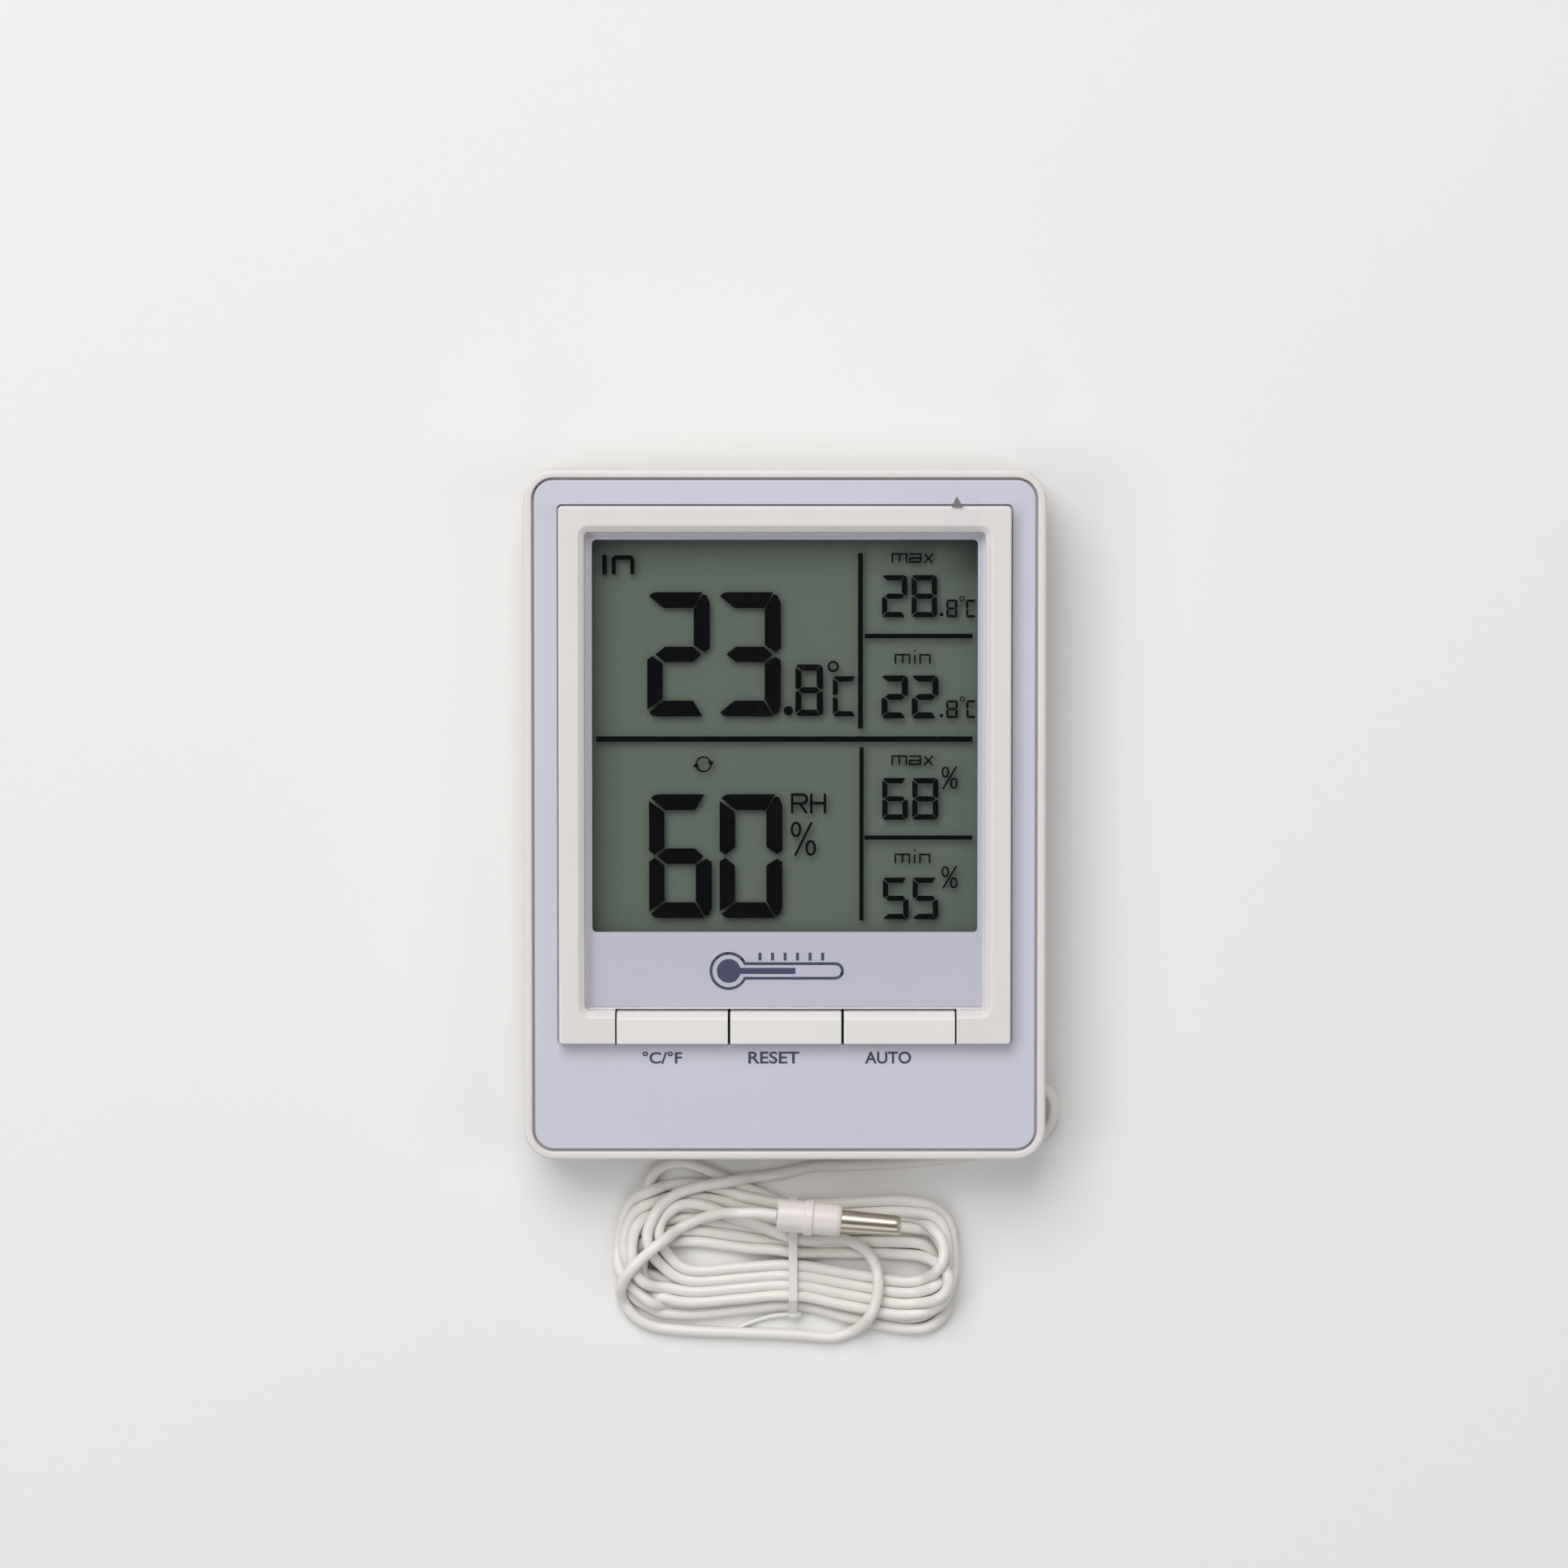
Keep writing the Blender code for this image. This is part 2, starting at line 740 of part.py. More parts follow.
def screw(name, paint, x, y, head_low, length):
    """A self-tapping screw driven from the back, with a cross recess in its head."""
    head_high = head_low + screw_head
    tip = head_high + length
    thing = turned(
        name, paint,
        [
            (0.0, tip),
            (screw_radius * 0.5, tip),
            (screw_radius, tip - screw_radius),
            (screw_radius, head_high),
            (screw_head_radius, head_high),
            (screw_head_radius * 0.8, head_low),
            (0.0, head_low),
        ],
        Matrix.Translation((x, y, 0.0)), steps=small_steps,
    )
    long = screw_head_radius * 1.1
    slot_top = head_low + screw_head / 2
    for ending, width, length_y in (("a", long, screw_slot), ("b", screw_slot, long)):
        size = width, length_y, head_low - reach, slot_top
        cut(thing, block("cut_" + name + ending, None, *size, x=x, y=y))


def back_cover(paint):
    cover = block(
        "back_cover", paint, body_width, body_height, 0.0, shoulder,
        corner=body_corner, bottom_round=body_round,
    )
    join(
        cover,
        block(
            "add_flange", None, case_width - 2 * flange_inset, case_height - 2 * flange_inset,
            shoulder - rim_flange, shoulder, corner=case_corner - flange_inset,
        ),
        block(
            "add_lip", None, case_width - 2 * (wall + gap), case_height - 2 * (wall + gap),
            shoulder - gap, shoulder + lip_height, corner=case_corner - wall - gap,
        ),
    )
    cut(
        cover,
        block(
            "cut_back_cavity", None, body_width - 2 * wall, body_height - 2 * wall, floor,
            shoulder + lip_height + reach, corner=body_corner - wall,
        ),
    )
    for ending, x, y in corners():
        ends = (x, y, floor - gap), (x, y, cover_boss_top)
        join(cover, rod("add_cover_boss_" + ending, None, cover_boss_radius, *ends))
    battery_bay(cover)
    stand_pocket(cover)
    for ending, x, y in corners():
        bore = (x, y, -reach), (x, y, counterbore_depth)
        hole = (x, y, -reach), (x, y, cover_boss_top + reach)
        cut(
            cover,
            rod("cut_counterbore_" + ending, None, counterbore_radius, *bore),
            rod("cut_cover_hole_" + ending, None, screw_radius + gap, *hole, sides=small_steps),
        )
    keyhole_and_vents(cover)
    side = body_width / 2
    cut(
        cover,
        rod(
            "cut_cable_hole", None, grommet_neck + gap, (side - wall - reach, exit_y, exit_z),
            (side + reach, exit_y, exit_z), sides=small_steps,
        ),
    )
    return cover


def bay_spans():
    """X, Y and Z ranges inside the battery bay."""
    left = battery_minus - gap - spring_length - gap - contact_thickness - gap
    right = battery_minus + battery_length + nub_length + gap + contact_thickness + gap
    half = battery_radius + bay_play
    return (left, right), (battery_y - half, battery_y + half), (-reach, battery_z + battery_radius + gap)


def battery_bay(cover):
    xs, ys, zs = bay_spans()
    side = body_height / 2 - wall / 2
    join(
        cover,
        span_block(
            "add_bay", None, (xs[0] - bay_wall, xs[1] + bay_wall), (-side, ys[1] + bay_wall),
            (floor / 2, zs[1] + bay_wall),
        ),
        span_block(
            "add_door_seat", None,
            (xs[0] - door_ledge - bay_wall, xs[1] + door_ledge + bay_wall),
            (-side, ys[1] + door_ledge + bay_wall), (floor / 2, floor + door_thickness),
        ),
    )
    cut(
        cover,
        span_block("cut_bay", None, xs, ys, zs),
        span_block(
            "cut_door_seat", None, (xs[0] - door_ledge, xs[1] + door_ledge),
            (ys[0] - door_ledge / 2, ys[1] + door_ledge), (-reach, door_thickness + 2 * gap),
        ),
    )
    tab = contact_tab()
    for ending, x in (("plus", xs[1]), ("minus", xs[0])):
        cut(
            cover,
            span_block(
                "cut_tab_" + ending, None, (x - bay_wall - gap, x + bay_wall + gap),
                (tab[0][0] - gap, tab[0][1] + gap), (tab[1][0] - gap, tab[1][1] + gap),
            ),
        )


def contact_tab():
    """Y and Z ranges of the tab on each battery contact."""
    low = battery_z + battery_radius / 2
    return (battery_y - tab_width / 2, battery_y + tab_width / 2), (low, low + tab_height)


def stand_pocket(cover):
    axis_y, axis_z = stand_axis
    half = stand_width / 2 + running
    low = axis_y - stand_length - running
    high = axis_y + barrel_radius + running + gap
    hinge_low = axis_y - 2 * barrel_radius
    hinge_depth = axis_z + barrel_radius + running
    outer = half + pin_reach + running + pocket_wall
    finger_low = low - finger_length / 2
    join(
        cover,
        span_block(
            "add_pocket", None, (-outer, outer), (finger_low - pocket_wall, high + pocket_wall),
            (floor / 2, pocket_depth + pocket_wall / 2),
        ),
        span_block(
            "add_hinge_pocket", None, (-outer, outer), (hinge_low - pocket_wall, high + pocket_wall),
            (floor / 2, hinge_depth + pocket_wall / 2),
        ),
    )
    cut(
        cover,
        span_block("cut_pocket", None, (-half, half), (low, high), (-reach, pocket_depth)),
        span_block("cut_hinge_pocket", None, (-half, half), (hinge_low, high), (-reach, hinge_depth)),
        span_block(
            "cut_finger", None, (-finger_width / 2, finger_width / 2), (finger_low, low + reach),
            (-reach, pocket_depth), corner=running,
        ),
        rod(
            "cut_pins", None, pin_radius + running, (-half - pin_reach - running, axis_y, axis_z),
            (half + pin_reach + running, axis_y, axis_z), sides=small_steps,
        ),
    )


def keyhole_and_vents(cover):
    top = floor + reach
    cut(
        cover,
        rod("cut_keyhole", None, keyhole_head, (0.0, keyhole_y, -reach), (0.0, keyhole_y, top)),
        block(
            "cut_keyhole_slot", None, 2 * keyhole_slot, 2 * keyhole_rise, -reach, top,
            y=keyhole_y + keyhole_rise / 2, corner=keyhole_slot * 0.99,
        ),
    )
    for number in range(vent_count):
        y = vent_middle[1] + (number - (vent_count - 1) / 2) * vent_pitch
        cut(
            cover,
            block(
                "cut_vent_" + str(number + 1), None, vent_length, vent_width, -reach, top,
                x=vent_middle[0], y=y, corner=vent_width * 0.45,
            ),
        )


def stand_leg(paint):
    axis_y, axis_z = stand_axis
    half = stand_width / 2
    low = axis_z - barrel_radius
    ys = (axis_y - stand_length, axis_y)
    leg = span_block("stand_leg", paint, (-half, half), ys, (low, low + stand_thickness))
    barrel = (-half, axis_y, axis_z), (half, axis_y, axis_z)
    pins = (-half - pin_reach, axis_y, axis_z), (half + pin_reach, axis_y, axis_z)
    join(
        leg,
        rod("add_barrel", None, barrel_radius, *barrel),
        rod("add_pins", None, pin_radius, *pins, sides=small_steps),
    )


def battery_door(paint):
    xs, ys, _ = bay_spans()
    low = gap / 3
    door = span_block(
        "battery_door", paint,
        (xs[0] - door_ledge + gap, xs[1] + door_ledge - gap),
        (ys[0] - door_ledge / 2 + gap, ys[1] + door_ledge - gap),
        (low, low + door_thickness),
    )
    middle = (xs[0] + xs[1]) / 2
    for ending, side in (("high", 1), ("low", -1)):
        edge = battery_y + side * (battery_radius + bay_play - gap - rib_thickness / 2)
        join(
            door,
            span_block(
                "add_rib_" + ending, None, (middle - rib_width / 2, middle + rib_width / 2),
                (edge - rib_thickness / 2, edge + rib_thickness / 2),
                (low + door_thickness / 2, low + door_thickness + rib_height),
            ),
        )


def battery_and_contacts(can_paint, spring_paint):
    sideways = Matrix.Rotation(math.pi / 2, 4, "Y")
    along_x = Matrix.Translation((battery_minus, battery_y, battery_z)) @ sideways
    end = battery_length
    chamfer = battery_radius / 10
    turned(
        "battery", can_paint,
        [
            (0.0, end + nub_length),
            (nub_radius, end + nub_length),
            (nub_radius, end),
            (battery_radius - chamfer, end),
            (battery_radius, end - chamfer),
            (battery_radius, chamfer),
            (battery_radius - chamfer, 0.0),
            (0.0, 0.0),
        ],
        along_x,
    )
    xs, _, _ = bay_spans()
    half = battery_radius * 0.8
    tab_y, tab_z = contact_tab()
    for ending, low in (("plus", xs[1] - gap - contact_thickness), ("minus", xs[0] + gap)):
        high = low + contact_thickness
        outward = (low, high + bay_wall + 2 * gap + contact_thickness)
        if ending == "minus":
            outward = (low - bay_wall - 2 * gap - contact_thickness, high)
        plate = span_block(
            "battery_contact_" + ending, spring_paint, (low, high), (battery_y - half, battery_y + half),
            (battery_z - half, battery_z + half),
        )
        join(plate, span_block("add_tab_" + ending, None, outward, tab_y, tab_z))
    start = xs[0] + gap + contact_thickness + gap + spring_wire
    run = battery_minus - gap - spring_wire - start
    points_a_turn = 12
    coil = []
    for number in range(spring_turns * points_a_turn + 1):
        share = number / (spring_turns * points_a_turn)
        angle = 2 * math.pi * number / points_a_turn
        radius = spring_wide + (spring_narrow - spring_wide) * share
        y = battery_y + radius * math.cos(angle)
        coil.append((start + run * share, y, battery_z + radius * math.sin(angle)))
    wire("battery_spring", spring_paint, coil, spring_wire)


def inner_wires(red, black, sensor):
    """The wires from the contacts and the cable to the underside of the board."""
    xs, _, _ = bay_spans()
    _, tab_z = contact_tab()
    height = (tab_z[0] + tab_z[1]) / 2
    out = bay_wall + 2 * gap + contact_thickness + gap + inner_wire
    below = board_bottom - gap - inner_wire
    soldered = board_low + 5.5 * MM
    spacing = 2.5 * MM
    ends = ("plus", red, xs[1] + out, 1), ("minus", black, xs[0] - out, -1)
    for ending, paint, x, turn in ends:
        route = (
            (x, battery_y, height),
            (x + turn * 1.5 * MM, battery_y + 3.0 * MM, height - 1.0 * MM),
            (x + turn * 1.5 * MM, soldered - 6.5 * MM, below - 3.4 * MM),
            (x + turn * 1.0 * MM, soldered - 2.0 * MM, below - 2.6 * MM),
            (x, soldered, below),
        )
        wire("battery_wire_" + ending, paint, smooth_points(route, spacing), inner_wire)
    inside = body_width / 2 - wall - gap - collar_length - gap
    route = (
        (inside, exit_y, exit_z),
        (inside - 4.0 * MM, exit_y + 0.6 * MM, exit_z),
        (inside - 6.5 * MM, soldered - 9.0 * MM, exit_z + 0.6 * MM),
        (inside - 7.0 * MM, soldered - 3.0 * MM, below - 2.2 * MM),
        (inside - 7.2 * MM, soldered, below),
    )
    wire("sensor_wire", sensor, smooth_points(route, spacing), inner_wire)


def cable_grommet(paint):
    """A rubber bush in the cover's side wall, with a collar on each side of it."""
    side = body_width / 2
    inner = side - wall - gap
    profile = (
        (0.0, side + gap),
        (grommet_neck, side + gap),
        (grommet_neck, inner),
        (grommet_collar, inner),
        (grommet_collar, inner - collar_length),
        (0.0, inner - collar_length),
    )
    place = Matrix.Translation((0.0, exit_y, exit_z)) @ Matrix.Rotation(math.pi / 2, 4, "Y")
    turned("cable_grommet", paint, profile, place, steps=small_steps)


def cable_lead(paint):
    route = [from_corner(point[:2], point[2]) for point in lead_route]
    wire("cable_lead", paint, smooth_points(route, lead_spacing), cable_radius)


def probe_lead(paint):
    route = [from_corner(point[:2], point[2]) for point in loop_route]
    wire("probe_lead", paint, smooth_points(route, lead_spacing), cable_radius)


def hank_outline():
    """The outline of the folded cable: two round ends, drawn in at the middle by the tie."""
    radius = hank_width / 2
    straight = hank_length / 2 - radius
    outline = []
    for side in (1, -1):
        for step in range(-3, 4):
            outline.append((side * straight * -step / 4, side * radius))
        for degrees in range(90, -91, -15):
            angle = math.radians(degrees)
            x = straight + radius * math.cos(angle)
            outline.append((-side * x, side * radius * math.sin(angle)))
    pulled = []
    for x, y in outline:
        waist = hank_waist * math.exp(-((x / waist_reach) ** 2))
        pulled.append((x, y - math.copysign(waist, y) if abs(x) < straight else y))
    return pulled


def cable_hank(paint):
    made = bmesh.new()
    corners_up = [made.verts.new((x, y, hank_bottom)) for x, y in hank_outline()]
    base = made.faces.new(corners_up)
    raised = bmesh.ops.extrude_face_region(made, geom=[base])["geom"]
    risen = [thing for thing in raised if isinstance(thing, bmesh.types.BMVert)]
    bmesh.ops.translate(made, vec=(0.0, 0.0, hank_height), verts=risen)
    bmesh.ops.recalc_face_normals(made, faces=made.faces)
    place = Matrix.Translation(from_corner(hank_middle)) @ Matrix.Rotation(hank_tilt, 4, "Z")
    bmesh.ops.transform(made, matrix=place, verts=made.verts)
    add_mesh("cable_hank", made, paint)


def hank_tie(paint):
    """A flat plastic tie round the hank's waist."""
    half = tie_length / 2
    tie_x, tie_y, _ = from_corner(tie_middle)
    loop = span_block(
        "hank_tie", paint, (tie_x - tie_width / 2, tie_x + tie_width / 2), (tie_y - half, tie_y + half),
        (0.0, tie_top),
    )
    cut(
        loop,
        span_block(
            "cut_tie", None, (tie_x - tie_width, tie_x + tie_width),
            (tie_y - half + tie_thickness, tie_y + half - tie_thickness),
            (tie_thickness, tie_top - tie_thickness),
        ),
    )


def probe(plastic, metal, epoxy):
    """The sleeve, the metal tip in it, and the sensing bead in the tip."""
    place = (
        Matrix.Translation(from_corner(probe_entry, probe_z))
        @ Matrix.Rotation(probe_tilt, 4, "Z")
        @ Matrix.Rotation(math.pi / 2, 4, "Y")
    )
    bore = tip_root + gap
    entry = cable_radius + gap
    step = sleeve_length - tip_inside
    turned(
        "probe_sleeve", plastic,
        [
            (bore, sleeve_length),
            (sleeve_radius - sleeve_shoulder / 2, sleeve_length),
            (sleeve_radius - sleeve_shoulder / 6, sleeve_length - sleeve_shoulder / 2),
            (sleeve_radius, sleeve_length - sleeve_shoulder),
            (sleeve_radius, ring_start + ring_length),
            (ring_radius, ring_start + ring_length),
            (ring_radius, ring_start),
            (sleeve_radius, ring_start),
            (sleeve_radius, 0.0),
            (entry, 0.0),
            (entry, step - gap),
            (bore, step - gap),
        ],
        place, ring=True,
    )
    end = sleeve_length + tip_length
    small = 0.3 * MM
    turned(
        "probe_tip", metal,
        [
            (0.0, end),
            (tip_end - small, end),
            (tip_end, end - small),
            (tip_root, sleeve_length),
            (tip_root, step),
            (tip_root - tip_wall, step),
            (tip_root - tip_wall, sleeve_length),
            (tip_end - tip_wall, end - small - tip_wall),
            (0.0, end - small - tip_wall),
        ],
        place,
    )
    made = bmesh.new()
    bmesh.ops.create_uvsphere(made, u_segments=12, v_segments=8, radius=tip_end / 2)
    bmesh.ops.translate(made, vec=(0.0, 0.0, end - tip_end * 2), verts=made.verts)
    bmesh.ops.transform(made, matrix=place, verts=made.verts)
    smooth(add_mesh("probe_thermistor", made, epoxy))


def build():
    global part_collection, cutter_collection
    clear_scene()
    part_collection = new_collection("max_min_thermometer")
    cutter_collection = new_collection("cutters")
    cutter_collection.hide_render = True

    housing_white = material("housing_white", (0.78, 0.76, 0.73), 0.4)
    plate_lavender = material("plate_lavender", (0.52, 0.51, 0.58), 0.45)
    clear = material("clear_acrylic", (0.9, 0.92, 0.94), 0.05, transmission=0.9)
    film = material("clear_film", (0.9, 0.92, 0.94), 0.1, transmission=0.9)
    glass = material("display_glass", (0.3, 0.34, 0.3), 0.1, transmission=0.5)
    foil = material("reflector_foil", (0.25, 0.28, 0.25), 0.4, metallic=0.3)
    carrier = material("carrier_plastic", (0.75, 0.75, 0.72), 0.5)
    rubber = material("connector_rubber", (0.25, 0.12, 0.1), 0.7)
    board = material("board_green", (0.03, 0.16, 0.06), 0.4)
    epoxy = material("black_epoxy", (0.02, 0.02, 0.02), 0.35)
    tin = material("tinned_metal", (0.6, 0.6, 0.6), 0.3, metallic=1.0)
    ceramic = material("sensor_white", (0.8, 0.8, 0.78), 0.5)
    black = material("switch_black", (0.03, 0.03, 0.03), 0.5)
    steel = material("screw_steel", (0.55, 0.55, 0.56), 0.3, metallic=1.0)
    can = material("battery_can", (0.25, 0.27, 0.3), 0.35, metallic=0.6)
    nickel = material("nickel_spring", (0.65, 0.63, 0.6), 0.25, metallic=1.0)
    red = material("red_insulation", (0.5, 0.03, 0.03), 0.5)
    dark = material("black_insulation", (0.02, 0.02, 0.02), 0.5)
    cable_white = material("cable_white", (0.8, 0.78, 0.75), 0.45)
    tie_plastic = material("tie_plastic", (0.8, 0.8, 0.8), 0.35)
    tip_metal = material("tip_nickel", (0.68, 0.63, 0.55), 0.2, metallic=1.0)

    front_housing(housing_white)
    face_plate(plate_lavender)
    display_lens(clear)
    protective_film(film)
    display_cell(glass, foil, carrier, rubber)
    main_board(board)
    board_parts(epoxy, tin, ceramic)
    buttons(housing_white, black, black)
    head_low = counterbore_depth - gap - screw_head
    for ending, x, y in corners():
        screw("case_screw_" + ending, steel, x, y, head_low, case_screw_length)
    head_low = board_bottom - gap - screw_head
    for ending, x, y in posts():
        screw("board_screw_" + ending, steel, x, y, head_low, board_screw_length)
    back_cover(housing_white)
    stand_leg(housing_white)
    battery_door(housing_white)
    battery_and_contacts(can, nickel)
    inner_wires(red, dark, cable_white)
    cable_grommet(cable_white)
    cable_lead(cable_white)
    cable_hank(cable_white)
    probe_lead(cable_white)
    hank_tie(tie_plastic)
    probe(cable_white, tip_metal, epoxy)


build()
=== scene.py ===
# %% [markdown]
# # Maximum minimum thermometer with a cabled sensor
# The object is a small bench instrument for a greenhouse: a moulded case that lies on its
# back, a display under a clear window, three keys, and a sensor on a long thin cable.
# The cable is wound into a hank and tied. The exact solids come first, because every piece
# made here takes its place from them. +Z points out of the display and +Y to the case's top.

# %% Load the frame
import math

import bmesh
import bpy
import numpy as np
from mathutils import Matrix, Vector


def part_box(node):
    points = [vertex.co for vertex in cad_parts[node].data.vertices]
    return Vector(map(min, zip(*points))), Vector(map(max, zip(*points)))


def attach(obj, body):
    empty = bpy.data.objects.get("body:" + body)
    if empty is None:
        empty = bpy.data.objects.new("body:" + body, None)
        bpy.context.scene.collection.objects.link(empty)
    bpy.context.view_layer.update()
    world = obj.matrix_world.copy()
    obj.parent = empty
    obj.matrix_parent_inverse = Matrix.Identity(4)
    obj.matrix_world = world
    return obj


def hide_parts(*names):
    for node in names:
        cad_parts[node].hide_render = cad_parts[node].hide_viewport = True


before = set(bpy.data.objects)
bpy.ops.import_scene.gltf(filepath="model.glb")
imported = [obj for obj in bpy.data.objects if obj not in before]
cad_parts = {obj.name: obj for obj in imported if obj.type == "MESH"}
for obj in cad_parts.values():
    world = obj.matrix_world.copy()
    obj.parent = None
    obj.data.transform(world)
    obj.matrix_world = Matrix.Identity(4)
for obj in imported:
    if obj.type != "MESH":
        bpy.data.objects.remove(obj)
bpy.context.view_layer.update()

MM = 0.001

# %% [markdown]
# ## Where things are
# The case's own box gives its size and its corners. The few heights that a box can't tell,
# such as the top of the rim, are the ones that the solids were drawn with.

# %% Places from the solids
case_low, case_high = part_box("front_housing")
plate_low, plate_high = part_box("face_plate")
lens_low, lens_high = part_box("display_lens")
film_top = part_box("protective_film")[1].z
front_glass_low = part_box("lcd_front_glass")[0]
rear_glass_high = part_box("lcd_rear_glass")[1]
hank_low, hank_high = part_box("cable_hank")
case_width = case_high.x - case_low.x
case_length = case_high.y - case_low.y
lower_right = Vector((case_high.x, case_low.y, 0.0))
hank_middle = (hank_low + hank_high) / 2
rim_top = 18.0 * MM
deck_top = 16.1 * MM
seat_top = 16.6 * MM
deck_under = 14.6 * MM
print(f"case {case_width / MM:.1f} x {case_length / MM:.1f} mm, hank at", hank_middle)

# %% [markdown]
# ## Camera
# The object is seen from straight in front, from far enough away that its sides don't show:
# a long lens, a metre and a half off. It stands a little towards the case's top, so that the
# upper edges turn very slightly to the viewer.

# %% Make the camera
distance = 1.5
tilt = math.radians(3.9)
seen_width = 0.3
target = Vector((-0.15 * MM, 6.05 * MM, 18.0 * MM))
camera_data = bpy.data.cameras.new("front_camera")
camera_data.sensor_width = 36.0
camera_data.lens = camera_data.sensor_width * distance / seen_width
camera = bpy.data.objects.new("front_camera", camera_data)
camera.location = target + distance * Vector((0.0, math.sin(tilt), math.cos(tilt)))
camera.rotation_euler = (-tilt, 0.0, 0.0)
bpy.context.scene.collection.objects.link(camera)
bpy.context.scene.camera = camera
print(f"lens {camera_data.lens:.0f} mm")

# %% [markdown]
# ## Light and floor
# One broad soft light stands above the case's top and a little to the left, which gives the
# bright upper edges and the darker slopes that face down. Three weak ones and a pale world
# fill the shadows. The floor is plain, and lies just below the back of the case.

# %% Helpers for colours and nodes
def srgb(code):
    """A linear colour from a hex code such as E8E4DF."""
    channels = [int(code[at:at + 2], 16) / 255 for at in (0, 2, 4)]
    linear = [c / 12.92 if c <= 0.04045 else ((c + 0.055) / 1.055) ** 2.4 for c in channels]
    return (*linear, 1.0)


def add_node(tree, kind, inputs=None, **settings):
    """Adds a node, with its settings, its input values and its links."""
    made = tree.nodes.new(kind)
    for name, value in settings.items():
        setattr(made, name, value)
    for name, value in (inputs or {}).items():
        if isinstance(value, bpy.types.NodeSocket):
            tree.links.new(value, made.inputs[name])
        else:
            made.inputs[name].default_value = value
    return made


def new_material(name):
    """An empty node material and its tree, ready for a shader."""
    made = bpy.data.materials.new(name)
    made.use_nodes = True
    made.node_tree.nodes.clear()
    return made, made.node_tree


def spot(tree):
    """The shaded place, in the object's own measure."""
    return add_node(tree, "ShaderNodeTexCoord").outputs["Object"]


def noise(tree, length, at=None, **inputs):
    """Smooth noise whose waves are this many millimetres long."""
    inputs["Vector"] = spot(tree) if at is None else at
    inputs["Scale"] = 1 / (length * MM)
    return add_node(tree, "ShaderNodeTexNoise", inputs).outputs["Fac"]


def relief(tree, height, depth):
    """The normals of a surface that rises by this many millimetres."""
    inputs = {"Height": height, "Distance": depth * MM}
    return add_node(tree, "ShaderNodeBump", inputs).outputs["Normal"]


def blend(tree, factor, first, second):
    """A colour between two hex codes."""
    inputs = {"Factor": factor, "A": srgb(first), "B": srgb(second)}
    return add_node(tree, "ShaderNodeMix", inputs, data_type="RGBA").outputs["Result"]


def surface(tree, colour, **inputs):
    """The main shader, joined to the output. An input's name has _ for each space."""
    named = {name.replace("_", " "): value for name, value in inputs.items()}
    shader = add_node(tree, "ShaderNodeBsdfPrincipled", {"Base Color": colour, **named})
    add_node(tree, "ShaderNodeOutputMaterial", {"Surface": shader.outputs["BSDF"]})


def add_object(name, data):
    made = bpy.data.objects.new(name, data)
    bpy.context.scene.collection.objects.link(made)
    return made


# %% Lights and world
def soft_light(name, place, width, power):
    data = bpy.data.lights.new(name, "AREA")
    data.shape = "DISK"
    data.size = width
    data.energy = power
    light = add_object(name, data)
    light.location = place
    light.rotation_euler = (target - Vector(place)).to_track_quat("-Z", "Y").to_euler()


soft_light("key_light", (-0.42, 1.10, 1.50), 1.6, 25.0)
soft_light("left_fill", (-1.1, -0.1, 1.3), 1.0, 5.2)
soft_light("right_fill", (1.1, -0.1, 1.3), 1.0, 3.6)
soft_light("low_fill", (0.0, -1.2, 1.2), 1.0, 2.4)
world = bpy.data.worlds.new("studio")
world.use_nodes = True
# The room is pale at the sides and dark straight above, so that the window mirrors no haze.
room = world.node_tree
direction = add_node(room, "ShaderNodeTexCoord")
upward = add_node(room, "ShaderNodeSeparateXYZ", {"Vector": direction.outputs["Generated"]})
walls = add_node(
    room, "ShaderNodeMapRange",
    {0: upward.outputs["Z"], "From Min": 0.84, "From Max": 0.97, "To Min": 0.24, "To Max": 0.04},
)
room.nodes["Background"].inputs["Color"].default_value = srgb("F4F6FA")
room.links.new(walls.outputs["Result"], room.nodes["Background"].inputs["Strength"])
bpy.context.scene.world = world
bpy.context.scene.view_settings.view_transform = "Standard"

# %% Floor
floor_material, tree = new_material("painted_board")
# Rolled emulsion paint on a board: dead flat, with a soft nap 2 mm across.
nap = relief(tree, noise(tree, 2), 0.02)
surface(tree, srgb("F2F1EF"), Roughness=0.85, Normal=nap)
made = bmesh.new()
bmesh.ops.create_grid(made, x_segments=1, y_segments=1, size=2.0)
bmesh.ops.translate(made, vec=(0.0, 0.0, -0.1 * MM), verts=made.verts)
floor_data = bpy.data.meshes.new("floor")
made.to_mesh(floor_data)
made.free()
floor_data.materials.append(floor_material)
add_object("floor", floor_data)

# %% [markdown]
# ## Finishes
# Nearly everything here is injection-moulded plastic. Such a surface is a solid colour with
# a faint spark-eroded grain from the mould, a slight cloudiness where the melt flowed, and a
# soft gloss. One function makes that finish, and each plastic gives its own numbers.

# %% Moulded plastics
def moulded(name, colour, shade, roughness, grain, depth, ior=1.5, coat=0.0, subsurface=0.0):
    """A plastic: its colour, the shade that it clouds to, and its grain's size and depth in mm."""
    made, tree = new_material(name)
    surface(
        tree, blend(tree, noise(tree, 22, Detail=3.0), colour, shade),
        Roughness=roughness, IOR=ior, Coat_Weight=coat, Coat_Roughness=0.12,
        Subsurface_Weight=subsurface, Subsurface_Scale=1.0 * MM,
        Subsurface_Radius=(1.0, 0.93, 0.88),
        Normal=relief(tree, noise(tree, grain, Detail=2.0), depth),
    )
    return made


